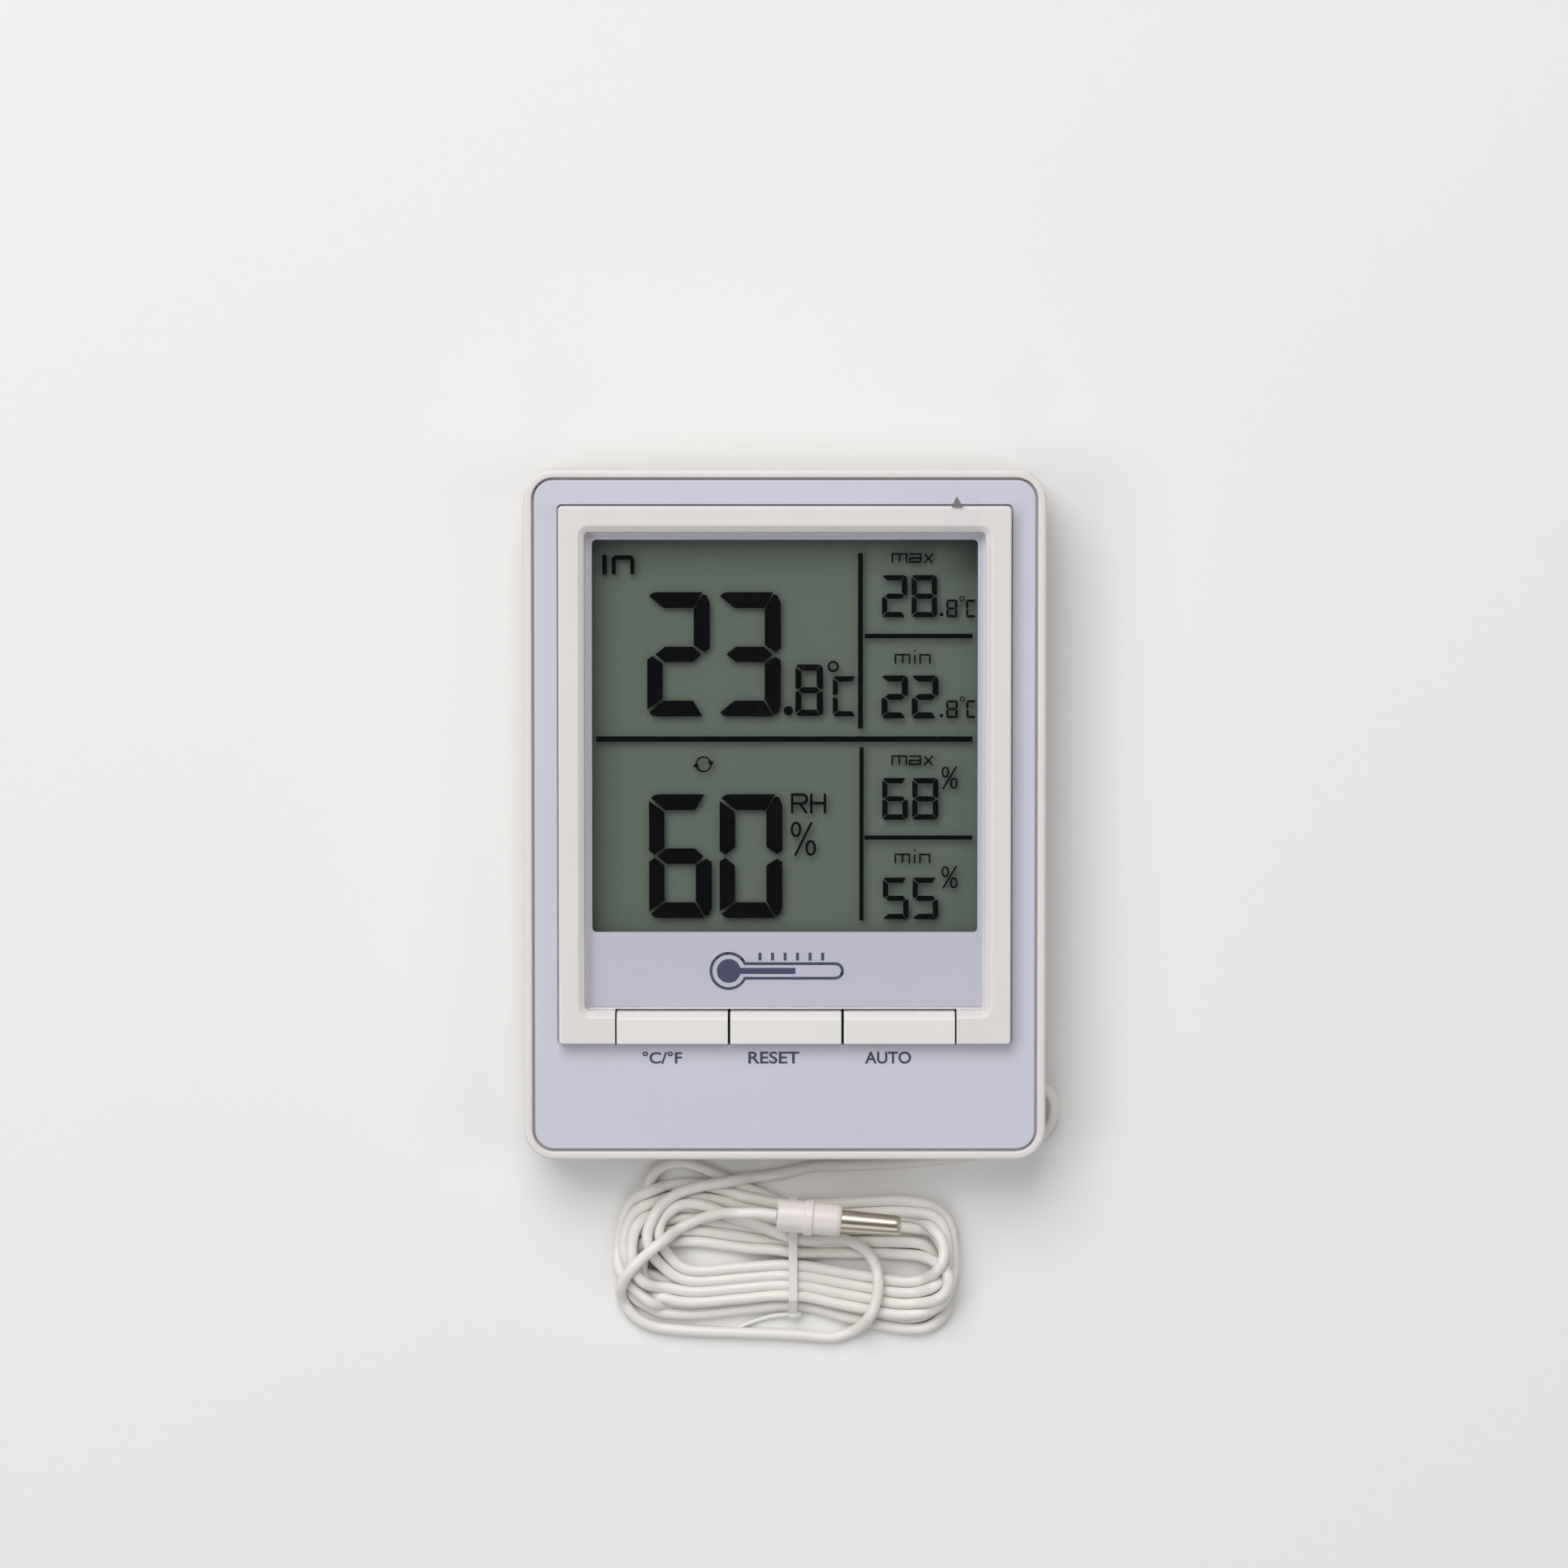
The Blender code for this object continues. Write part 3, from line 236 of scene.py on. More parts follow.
# ABS, moulded in a spark-eroded tool: warm white, half gloss, grain 0.3 mm across.
case_abs = moulded("white_moulded_abs", "E9E4E1", "E4DEDB", 0.34, 0.3, 0.006, ior=1.54)
key_abs = moulded("white_polished_abs", "EFECE8", "EAE6E2", 0.28, 0.3, 0.003, ior=1.54)
back_abs = moulded("white_matt_abs", "EBE7E2", "E3DED9", 0.45, 0.35, 0.012, ior=1.54)
# Polycarbonate sheet, pearl lacquer under a clear coat: cool, smooth, with a faint depth.
plate_pearl = moulded(
    "lavender_pearl_lacquer", "D1D0DE", "CAC9D8", 0.42, 0.25, 0.002, ior=1.58, coat=0.25,
)
# Soft PVC jacket: matt-glossy, very slightly see-through, drawn smooth along its length.
cable_pvc = moulded(
    "white_soft_pvc", "F1EEEA", "E8E2DA", 0.36, 0.6, 0.008, ior=1.52, subsurface=0.15,
)
sleeve_pvc = moulded(
    "white_hard_pvc", "EEE7E3", "E6DDD8", 0.30, 0.4, 0.004, ior=1.53, subsurface=0.1,
)
tie_nylon = moulded(
    "clear_drawn_nylon", "F0EEEA", "E4E2DE", 0.30, 0.8, 0.006, ior=1.53, subsurface=0.3,
)
bush_rubber = moulded("ivory_moulded_rubber", "E2DDD4", "D8D2C8", 0.6, 0.3, 0.01)
carrier_abs = moulded("grey_carrier_abs", "BDBDBA", "B2B2AF", 0.5, 0.35, 0.01)
strip_rubber = moulded("pink_zebra_rubber", "C98F8C", "A8615F", 0.55, 0.2, 0.01)
switch_pa = moulded("black_glassfilled_nylon", "1B1B1D", "242426", 0.48, 0.15, 0.01)
plunger_pbt = moulded("brown_switch_pbt", "4A3A2C", "54422F", 0.4, 0.2, 0.006)
epoxy_black = moulded("black_cured_epoxy", "101012", "19191B", 0.22, 1.2, 0.03)
sensor_ceramic = moulded("white_fired_ceramic", "EDEDEA", "E2E2DD", 0.55, 0.12, 0.008, ior=1.6)
wire_red = moulded("red_wire_pvc", "A81E1A", "961A17", 0.38, 0.5, 0.008)
wire_black = moulded("black_wire_pvc", "161616", "202020", 0.38, 0.5, 0.008)
wire_white = moulded("white_wire_pvc", "E9E7E2", "DDDAD4", 0.38, 0.5, 0.008)

# %% [markdown]
# Printing ink is thin and dense. It needs only a very slight unevenness, which comes from
# the weave of the printing screen, about 0.15 mm between threads.

# %% Inks
slate_ink = moulded("slate_screen_ink", "3A3F5A", "41465F", 0.45, 0.15, 0.002)
border_ink = moulded("lavender_border_ink", "CFCED6", "CBCAD3", 0.5, 0.15, 0.002)
crystal_black = moulded("dark_crystal", "060608", "09090B", 0.5, 0.2, 0.001, ior=1.1)
arrow_ink = moulded("grey_film_ink", "6F6B68", "7B7774", 0.5, 0.15, 0.002)

# %% [markdown]
# Metals take their colour from their reflection. A drawn or turned part has fine lines from
# the tool, and plating keeps them, only softer.

# %% Metals
def plated(name, colour, shade, roughness, grain, depth, stretch=(1.0, 1.0, 1.0)):
    """A plated metal with tool lines: the noise is stretched along the way the tool went."""
    made, tree = new_material(name)
    turned = add_node(tree, "ShaderNodeMapping", {"Vector": spot(tree), "Scale": stretch})
    lines = noise(tree, grain, turned.outputs["Vector"], Detail=3.0)
    surface(
        tree, blend(tree, lines, colour, shade),
        Metallic=1.0, Roughness=roughness, Normal=relief(tree, lines, depth),
    )
    return made


tip_nickel = plated("nickel_drawn_tip", "DCD2C4", "CDC2B2", 0.3, 0.5, 0.002, (0.08, 1.0, 1.0))
spring_nickel = plated("nickel_spring_wire", "CFCBC2", "BDB8AE", 0.28, 0.3, 0.003)
screw_zinc = plated("zinc_rolled_screw", "B9BCC0", "A5A8AD", 0.35, 0.25, 0.006)
solder_tin = plated("tinned_can", "D2D3D2", "BEC0C0", 0.3, 0.4, 0.004)

# %% [markdown]
# The circuit board is glass cloth in green lacquer, and its copper tracks show through as
# lighter lines. The cell has a printed steel can with a band at its plus end.

# %% Board and cell
board_fr4, tree = new_material("green_solder_mask")
# Tracks 0.4 mm wide on a 2.4 mm grid, which is about as dense as a simple board is.
tracks = add_node(
    tree, "ShaderNodeTexBrick",
    {
        "Vector": spot(tree), "Color1": srgb("1F5A36"), "Color2": srgb("1C5232"),
        "Mortar": srgb("3C7F4E"), "Scale": 1.0, "Mortar Size": 0.2 * MM,
        "Brick Width": 9.0 * MM, "Row Height": 2.4 * MM,
    },
)
surface(tree, tracks.outputs["Color"], Roughness=0.3, IOR=1.55)

# A lacquered can, dark with a copper-coloured band, scuffed in patches 3 mm across.
cell_can, tree = new_material("printed_cell_can")
band_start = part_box("battery")[1].x - 13.0 * MM
place = add_node(tree, "ShaderNodeSeparateXYZ", {"Vector": spot(tree)})
band = add_node(
    tree, "ShaderNodeMath", {0: place.outputs["X"], 1: band_start}, operation="GREATER_THAN",
)
surface(
    tree, blend(tree, band.outputs["Value"], "26282C", "B4874A"),
    Metallic=0.6, Roughness=0.3, Normal=relief(tree, noise(tree, 3), 0.01),
)

# %% [markdown]
# Clear plastic and glass bend light, but a renderer finds it hard to send light through them
# to what lies behind. So a ray that only asks whether a place is lit goes straight through,
# and so does scattered light, or the lamps would be counted twice.

# %% Clear materials
def clear(name, tint, ior, smear):
    """A clear sheet with a very slight unevenness of its surface, smear mm deep."""
    made, tree = new_material(name)
    # Pressed sheet is never quite flat: its waves are about 9 mm long.
    body = add_node(
        tree, "ShaderNodeBsdfPrincipled",
        {
            "Base Color": srgb(tint), "Roughness": 0.0, "IOR": ior, "Transmission Weight": 1.0,
            "Normal": relief(tree, noise(tree, 9), smear),
        },
    ).outputs["BSDF"]
    through = add_node(tree, "ShaderNodeBsdfTransparent", {"Color": srgb(tint)}).outputs["BSDF"]
    path = add_node(tree, "ShaderNodeLightPath")
    for question in ("Is Diffuse Ray", "Is Shadow Ray"):
        inputs = {0: path.outputs[question], 1: body, 2: through}
        body = add_node(tree, "ShaderNodeMixShader", inputs).outputs["Shader"]
    add_node(tree, "ShaderNodeOutputMaterial", {"Surface": body})
    return made


window_acrylic = clear("clear_pressed_acrylic", "FDFDFF", 1.49, 0.002)
# The film is stuck to the window and the glasses to each other. Glue and crystal have nearly
# the same index as the sheets, so these numbers are the contrast that is left at the faces.
film_pet = clear("clear_cast_film", "FDFDFE", 1.12, 0.002)
cell_glass = clear("polarised_display_glass", "F2F4F1", 1.12, 0.0005)

# %% [markdown]
# Behind the glass lies a foil that scatters light back, greenish because of the polarisers.
# It is finely grained, and that grain is what makes such a display look slightly speckled.

# %% Reflector foil
foil, tree = new_material("grained_reflector_foil")
grain = noise(tree, 0.35, Detail=3.0, Roughness=0.7)
surface(
    tree, blend(tree, grain, "90988F", "9DA59C"), Roughness=0.6, Normal=relief(tree, grain, 0.01),
)
print(len(bpy.data.materials), "materials")

# %% [markdown]
# ## The sensor's cable
# The cable is 1.4 m of soft round lead, 2.2 mm thick. It leaves the case through a bush in
# the right side, runs under the case's bottom edge, and is wound flat round two fingers into
# a hank, which a plastic tie holds. A drawn curve alone would pass through itself in such a
# bundle, so the route is drawn roughly and then settled: gravity, contact and stiffness act
# on points 1 mm apart until the strands lie beside and on each other.

# %% The cable's facts
cable_radius = 1.1 * MM
on_floor = 1.1
probe_height = 10.8
exit_rise = 13.25

# Points in mm from the case's lower right corner: X, Y, and Z above the back face
lead_route = [
    (-2.4, exit_rise, 4.5), (-1.9, exit_rise, 4.5), (-0.1, 12.3, 4.4), (1.4, 11.0, 4.0),
    (2.1, 8.2, 3.2), (1.3, 5.1, 2.3), (-1.0, 2.6, 1.6), (-4.4, 0.8, 1.2), (-9.2, -0.4, on_floor),
    (-15.1, -1.2, on_floor), (-21.4, -2.0, on_floor), (-29.4, -2.7, on_floor),
    (-37.0, -3.0, on_floor), (-44.5, -3.3, 1.6),
]
loop_route = [
    (-51.7, -11.55, probe_height), (-56.0, -11.2, 10.7), (-62.7, -11.8, 9.6), (-68.9, -14.3, 8.2),
    (-74.4, -17.7, 7.5), (-78.6, -21.5, 7.5), (-81.3, -25.2, 7.5), (-81.5, -28.8, 5.0),
    (-79.4, -32.3, 3.0), (-75.5, -34.5, 1.6), (-68.2, -35.4, on_floor), (-60.4, -35.7, on_floor),
    (-51.1, -36.0, on_floor), (-45.5, -36.3, 2.1), (-40.7, -36.6, 4.7), (-36.3, -35.1, 7.2),
    (-33.2, -31.5, 7.9), (-31.9, -26.9, 7.5), (-32.4, -22.3, 7.5), (-35.0, -18.9, 7.5),
]
# Points in mm from the hank's middle: how the two leads join the winding
lead_joins = [
    (-1.8, 14.4, 3.0), (-8.1, 13.6, 5.0), (-14.3, 12.7, 6.5), (-19.0, 11.8, 6.5),
    (-22.4, 10.2, 6.5), (-25.4, 7.5, 6.5), (-27.3, 4.1, 6.5), (-27.1, 1.0, 6.5),
    (-25.6, -2.1, 5.5),
]
loop_joins = [
    (9.9, 1.9, 6.5), (4.5, 1.5, 5.6), (1.0, 2.1, 5.0), (-3.4, 3.6, 5.5), (-10.4, 6.0, 6.5),
    (-14.3, 7.7, 6.5), (-19.0, 8.8, 6.5), (-22.8, 7.8, 6.5), (-25.0, 5.2, 6.5), (-25.1, 2.4, 6.5),
    (-23.7, -0.7, 5.5),
]
loose_turn = [
    (-3.4, 9.9), (-8.1, 11.5), (-13.1, 13.8), (-17.2, 15.7), (-21.3, 16.6), (-24.7, 15.7),
    (-26.8, 13.2), (-27.4, 9.9), (-27.6, 6.1), (-27.4, 2.7), (-26.0, -0.6), (-23.2, -3.0),
]
hidden_fold = [(25.7, -6.1), (28.9, -7.6), (30.2, -11.0), (28.9, -14.4), (25.7, -15.9)]

# %% [markdown]
# A turn goes along a lower lane to the right, round the right end, back along an upper lane
# and round the left end. Lanes fan out from the tie in the middle. Each turn is one row:
# lane, level, right end's reach and level, upper lane and its level, left end's reach and level.

# %% Lanes and turns of the hank
lane_x = (-19.1, 0.9, 21.7)
first_turns = [
    (1.0, 1, 31.0, 1.6, 0.9, 1, -31.9, 1),
    (3.0, 1, 31.9, 1.4, 0.0, 1, -32.5, 1),
    (3.4, 0, 31.6, 0.6, 0.5, 0, None, 0),
    (0.3, 0),
]
last_turns = [
    (0.0, 1, 30.2, 2.6, 1.7, 1, -30.5, 1),
    (2.0, 1, 31.0, 2.0, 4.0, 1, -28.5, 0.8),
    (2.3, 0, 29.3, 1.5, 3.4, 0, -29.6, 0),
    (1.3, 0, 30.5, 0.9, 2.4, 0, -31.6, 0.6),
    (4.1, 0),
]


def lower_lane(number):
    return -4.4 - 1.92 * number, -3.7 - 1.56 * number, -6.4 - 2.15 * number


def upper_lane(number):
    return 12.5 - 2.74 * number, 8.6 - 2.24 * number, 8.9 - 0.94 * number - 0.40 * number**2


def strand_height(level):
    return 1.2 + 2.2 * level


def lane_points(ys, level):
    """Five points along a lane, left to right."""
    height = strand_height(level)
    known = [(x, y, height) for x, y in zip(lane_x, ys)]
    between = [tuple((a + b) / 2 for a, b in zip(one, two)) for one, two in zip(known, known[1:])]
    return [known[0], between[0], known[1], between[1], known[2]]


def end_points(start_x, reach, start_y, end_y, level):
    """Five points round one end of the hank, on a rounded square."""
    squareness = 2 / 2.6
    points = []
    for step in range(1, 6):
        turn = math.pi * step / 6
        along, across = abs(math.sin(turn)) ** squareness, abs(math.cos(turn)) ** squareness
        y = (start_y + end_y) / 2 + (start_y - end_y) / 2 * math.copysign(across, math.cos(turn))
        points.append((start_x + (reach - start_x) * along, y, strand_height(level)))
    return points


def wound(turns):
    """The points of one half of the winding, from the hank's middle."""
    points = []
    for number, turn in enumerate(turns):
        low = lower_lane(turn[0])
        points += lane_points(low, turn[1])
        if len(turn) == 2:
            break
        _, _, right, right_level, upper, upper_level, left, left_level = turn
        high = upper_lane(upper)
        points += end_points(lane_x[2], right, low[2], high[2], right_level)
        back = lane_points(high, upper_level)[::-1]
        if left is None:
            points += back[:3] + [(x, y, strand_height(0)) for x, y in loose_turn]
            continue
        points += back
        next_y = lower_lane(turns[number + 1][0])[0]
        points += end_points(lane_x[0], left, high[0], next_y, left_level)
    return points


# %% [markdown]
# The whole route goes through the hank twice: the second half was wound back over the first
# from a fold, so the lead and the sensor both come out on top. A smooth line through the
# points is cut into steps of one millimetre.

# %% The rough route
def from_corner(points):
    return [(lower_right.x / MM + x, lower_right.y / MM + y, z) for x, y, z in points]


def from_hank(points):
    return [(hank_middle.x / MM + x, hank_middle.y / MM + y, z) for x, y, z in points]


def evenly(line, spacing):
    """The same line with its points an even distance apart."""
    steps = np.linalg.norm(np.diff(line, axis=0), axis=1)
    travelled = np.concatenate([[0.0], np.cumsum(steps)])
    at = np.linspace(0.0, travelled[-1], round(travelled[-1] / spacing) + 1)
    return np.stack([np.interp(at, travelled, line[:, axis]) for axis in range(3)], axis=1)


def smooth_line(route, spacing):
    """A Catmull-Rom line through the route's points."""
    knots = np.array(route, float)
    knots = np.vstack([2 * knots[0] - knots[1], knots, 2 * knots[-1] - knots[-2]])
    t = np.linspace(0, 1, 24, endpoint=False)[:, None]
    pieces = []
    for a, b, c, d in zip(knots, knots[1:], knots[2:], knots[3:]):
        bend = (2 * a - 5 * b + 4 * c - d) * t**2 / 2 + (3 * b - a - 3 * c + d) * t**3 / 2
        pieces.append(b + (c - a) * t / 2 + bend)
    return evenly(np.vstack([*pieces, knots[-2:-1]]), spacing)


fold = [(x, y, strand_height(0)) for x, y in hidden_fold]
outward = from_corner(lead_route) + from_hank(lead_joins + wound(first_turns) + fold)
inward = from_corner(loop_route) + from_hank(loop_joins + wound(last_turns))
rough = smooth_line(outward + inward[::-1], 1.0)
print(len(rough), "points on the rough route")

# %% [markdown]
# Settling is a small simulation. Each step lets the strands sink a little, draws them back
# towards the route so that the hank keeps its outline, pushes apart strands that are nearer
# than one diameter, evens out the bends as a stiff jacket does, and keeps the length.

# %% Settle the strands
tie_x = hank_middle.x / MM + lane_x[1]
held_start = 40
held_end = 8
strand = 2 * cable_radius / MM
sinking = 0.05
drawn_back = 0.1
stiffness = 0.9 / 16
rounds_of_contact = 3
ways_to_give = (0.35, 0.35, 1.0)
most_push = 1.2
tie_lift, tie_reach, tie_ramp = 0.6, 1.8, 0.8
tie_from, tie_to = -13.0, 11.0


def floor_under(points):
    """The tie passes under the strands at the hank's middle and lifts them by its thickness."""
    near_tie = np.clip(tie_reach - np.abs(points[:, 0] - tie_x), 0, tie_ramp) / tie_ramp
    offset = points[:, 1] - hank_middle.y / MM
    return strand / 2 + tie_lift * near_tie * ((offset < tie_to) & (offset > tie_from))


def push_apart(points, one, other):
    """Moves strands that touch, more upwards than sideways."""
    apart = points[other] - points[one]
    distance = np.linalg.norm(apart, axis=1) + 1e-9
    push = np.clip(strand - distance, 0, None) / distance / 2
    close = push > 0
    move = apart[close] * push[close][:, None] * ways_to_give
    total = np.zeros_like(points)
    np.add.at(total, one[close], -move)
    np.add.at(total, other[close], move)
    count = np.bincount(np.concatenate([one[close], other[close]]), minlength=len(points))
    return total * (most_push / np.maximum(count, most_push))[:, None]


def even_bends(points):
    change = np.zeros_like(points)
    change[2:-2] = (
        -points[:-4] + 4 * points[1:-3] - 6 * points[2:-2] + 4 * points[3:-1] - points[4:]
    )
    return change * stiffness


def settle(line, steps):
    points = line.copy()
    lengths = np.linalg.norm(np.diff(line, axis=0), axis=1)
    for step in range(steps):
        if step % 10 == 0:
            square = ((points[:, None] - points[None]) ** 2).sum(-1)
            one, other = np.nonzero(np.triu(square < (strand + 1.0) ** 2, 6))
        points[:, 2] -= sinking
        points[:, :2] += (line[:, :2] - points[:, :2]) * drawn_back
        for _ in range(rounds_of_contact):
            points += push_apart(points, one, other)
            points += even_bends(points)
            edge = np.diff(points, axis=0)
            size = np.linalg.norm(edge, axis=1) + 1e-9
            pull = edge * ((size - lengths) / size * 0.2)[:, None]
            points[:-1] += pull
            points[1:] -= pull
            points[:, 2] = np.maximum(points[:, 2], floor_under(points))
            points[:held_start] = line[:held_start]
            points[-held_end:] = line[-held_end:]
    return points


settled = settle(rough, 200)
middle_line = smooth_line(settled, 0.55) * MM
print(f"cable {np.linalg.norm(np.diff(middle_line, axis=0), axis=1).sum():.3f} m long")

# %% [markdown]
# The settled line becomes a round jacket: a curve with a bevel, which keeps its roundness in
# every bend.

# %% Helpers that finish a piece
def shade(data, sharp_degrees=35.0):
    data.shade_smooth()
    data.set_sharp_from_angle(angle=math.radians(sharp_degrees))


def modify(piece, name, kind, **settings):
    modifier = piece.modifiers.new(name, kind)
    for setting, value in settings.items():
        setattr(modifier, setting, value)
    return modifier


def round_edges(made, edges, offset, segments, clamp=True):
    bmesh.ops.bevel(
        made, geom=edges, offset=offset, segments=segments, profile=0.5, affect="EDGES",
        offset_type="OFFSET", clamp_overlap=clamp, material=-1,
    )


def move_new(made, grown, vec):
    """Moves only the points that an extrusion has made."""
    new = [item for item in grown["geom"] if isinstance(item, bmesh.types.BMVert)]
    bmesh.ops.translate(made, vec=vec, verts=new)


def finish_piece(made, name, body, material, sharp_degrees=35.0):
    """Closes a bmesh, makes its object at the origin, and puts it on its body."""
    bmesh.ops.remove_doubles(made, verts=made.verts, dist=0.001 * MM)
    bmesh.ops.recalc_face_normals(made, faces=made.faces)
    if made.calc_volume(signed=True) < 0:
        bmesh.ops.reverse_faces(made, faces=made.faces)
    data = bpy.data.meshes.new(name)
    made.to_mesh(data)
    made.free()
    data.materials.append(material)
    shade(data, sharp_degrees)
    piece = add_object(name, data)
    modify(piece, "level_faces", "WEIGHTED_NORMAL", keep_sharp=True)
    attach(piece, body)
    print(f"{name}: {len(data.polygons)} faces")
    return piece


# %% Make the cable
def round_curve(name, radius, kind, material):
    """A curve with a round section and filled ends, and its one spline."""
    curve = bpy.data.curves.new(name, "CURVE")
    curve.dimensions = "3D"
    curve.bevel_depth = radius
    curve.bevel_resolution = 3
    curve.use_fill_caps = True
    curve.materials.append(material)
    return curve, curve.splines.new(kind)


curve, spline = round_curve("sensor_cable", cable_radius, "POLY", cable_pvc)
spline.points.add(len(middle_line) - 1)
for knot, point in zip(spline.points, middle_line):
    knot.co = (*point, 1.0)
spline.use_smooth = True
sensor_cable = add_object("sensor_cable", curve)
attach(sensor_cable, "case")
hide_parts("cable_lead", "cable_hank", "probe_lead")

# %% [markdown]
# ## The sensor
# The sensor is a turned-looking moulding: a sleeve with a raised ring, and a drawn metal tip
# pressed into it. Both are bodies of revolution, so half an outline is spun about the axis.

# %% Sleeve and tip
entry = Vector(from_corner([(-51.4, -11.55, probe_height)])[0]) * MM
probe_turn = Matrix.Rotation(math.radians(-5.0), 4, "Z")
probe_place = Matrix.Translation(entry) @ probe_turn


def turned(name, outline, material, slot, rounding):
    """Spins an outline of (distance along, radius) in mm about the sensor's axis."""
    made = bmesh.new()
    points = [made.verts.new((along * MM, 0.0, radius * MM)) for along, radius in outline]
    edges = [made.edges.new(pair) for pair in zip(points, points[1:])]
    bmesh.ops.spin(
        made, geom=points + edges, cent=(0, 0, 0), axis=(1, 0, 0), angle=2 * math.pi, steps=48,
        use_merge=True,
    )
    bmesh.ops.remove_doubles(made, verts=made.verts, dist=0.001 * MM)
    bmesh.ops.recalc_face_normals(made, faces=made.faces)
    corners = [
        edge for edge in made.edges
        if len(edge.link_faces) == 2 and edge.calc_face_angle() > math.radians(40)
    ]
    round_edges(made, corners, rounding * MM, 3)
    bmesh.ops.transform(made, matrix=probe_place, verts=made.verts)
    return finish_piece(made, name, "case", material)


sensor_sleeve = turned(
    "sensor_sleeve",
    [
        (2.5, 0.0), (2.5, 1.3), (0.0, 1.3), (0.0, 3.15), (5.2, 3.15), (5.3, 3.5), (6.8, 3.5),
        (6.9, 3.15), (11.3, 3.15), (12.0, 2.95), (12.4, 2.5), (12.4, 2.2), (9.7, 2.2), (9.7, 0.0),
    ],
    sleeve_pvc, "probe_plastic", 0.2,
)
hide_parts("probe_sleeve")
sensor_tip = turned(
    "sensor_tip",
    [
        (10.0, 1.8), (10.0, 2.15), (12.6, 2.15), (22.6, 1.95), (23.6, 1.85), (24.0, 1.4),
        (24.0, 0.0), (23.7, 0.0), (23.6, 1.3), (23.3, 1.6), (12.6, 1.8), (10.0, 1.8),
    ],
    tip_nickel, "tip_nickel", 0.12,
)
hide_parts("probe_tip")

# %% [markdown]
# ## The cable tie
# A flat nylon tie is pulled tight round the hank's waist, so it follows the strands beneath
# it. Its path is the outline of everything that crosses its plane, and a band is raised on
# that outline. The locked end is melted into a small foot, and a thin tail lies beside it.

# %% Outline of the strands at the tie
tie_width = 1.7 * MM
tie_thickness = 0.5 * MM
off_middle = middle_line[:, 1] - hank_middle.y
in_tie = (off_middle > -13.0 * MM) & (off_middle < 10.0 * MM)
crossing = middle_line[in_tie & (np.abs(middle_line[:, 0] - tie_x * MM) < 1.3 * MM)]
round_angles = np.linspace(0, 2 * math.pi, 24, endpoint=False)
spread = cable_radius + 0.12 * MM
cloud = np.concatenate(
    [np.stack([y + spread * np.cos(round_angles), z + spread * np.sin(round_angles)], 1)
     for _, y, z in crossing]
)
cloud[:, 1] = np.maximum(cloud[:, 1], tie_thickness + 0.02 * MM)


def hull(points):
    """The convex outline of points in a plane, anticlockwise."""
    ordered = sorted(map(tuple, points))
    chains = []
    for run in (ordered, ordered[::-1]):
        chain = []
        for point in run:
            while len(chain) > 1:
                (ax, ay), (bx, by) = chain[-2], chain[-1]
                if (bx - ax) * (point[1] - ay) - (by - ay) * (point[0] - ax) > 0:
                    break
                chain.pop()
            chain.append(point)
        chains += chain[:-1]
    return np.array(chains)


tight = hull(cloud)
print(f"the tie goes round {len(crossing)} points, {np.ptp(tight[:, 0]) / MM:.1f} mm across")

# %% Band, foot and tail
made = bmesh.new()
ring = [made.verts.new((tie_x * MM - tie_width / 2, y, z)) for y, z in tight]
edges = [made.edges.new(pair) for pair in zip(ring, ring[1:] + ring[:1])]
move_new(made, bmesh.ops.extrude_edge_only(made, edges=edges), (tie_width, 0, 0))
bmesh.ops.recalc_face_normals(made, faces=made.faces)
bmesh.ops.solidify(made, geom=made.faces[:], thickness=-tie_thickness)
rims = [edge for edge in made.edges if edge.calc_face_angle(0.0) > math.radians(60)]
round_edges(made, rims, 0.15 * MM, 2)
foot_y = tight[:, 0].min() - tie_thickness
foot = bmesh.ops.create_uvsphere(made, u_segments=24, v_segments=14, radius=1.0 * MM)["verts"]
bmesh.ops.scale(made, vec=(1.45, 0.85, 0.8), verts=foot)
bmesh.ops.translate(made, vec=(tie_x * MM + 0.2 * MM, foot_y, 1.9 * MM), verts=foot)
cable_tie = finish_piece(made, "cable_tie", "case", tie_nylon)
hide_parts("hank_tie")

tail_curve, tail = round_curve("tie_tail", 0.42 * MM, "BEZIER", tie_nylon)
tail.bezier_points.add(2)
tail_places = [(0.2, 0.0, 1.8), (-4.2, -0.5, 0.9), (-13.0, -3.6, 0.45)]
for knot, (x, y, z) in zip(tail.bezier_points, tail_places):
    knot.co = (tie_x * MM + x * MM, foot_y + y * MM, z * MM)
    knot.handle_left_type = knot.handle_right_type = "AUTO"
tie_tail = add_object("tie_tail", tail_curve)
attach(tie_tail, "case")

# %% [markdown]
# ## The front housing
# The housing is one moulding: side walls, a rounded rim, a flat deck that the face plate
# lies on, and the raised frame round the display. Every level of it is a rounded rectangle.
# So it is built like a turned piece, only with rectangles in place of circles: the loops of
# neighbouring levels are joined, and the loops at the corners of the section are bevelled.

# %% Loops and sections
corner_steps = 10
round_steps = 4


def loop_of(made, outline, offset, height):
    """The points of one rounded rectangle: outline is (width, length, corner, middle Y)."""
    width, length, corner, middle_y = outline
    points = []
    for turn, (across, along) in enumerate(((1, 1), (-1, 1), (-1, -1), (1, -1))):
        centre_x = across * (width / 2 - corner)
        centre_y = middle_y + along * (length / 2 - corner)
        for step in range(corner_steps + 1):
            angle = (turn + step / corner_steps) * math.pi / 2
            x = centre_x + (corner + offset) * math.cos(angle)
            y = centre_y + (corner + offset) * math.sin(angle)
            points.append(made.verts.new((x, y, height)))
    return points


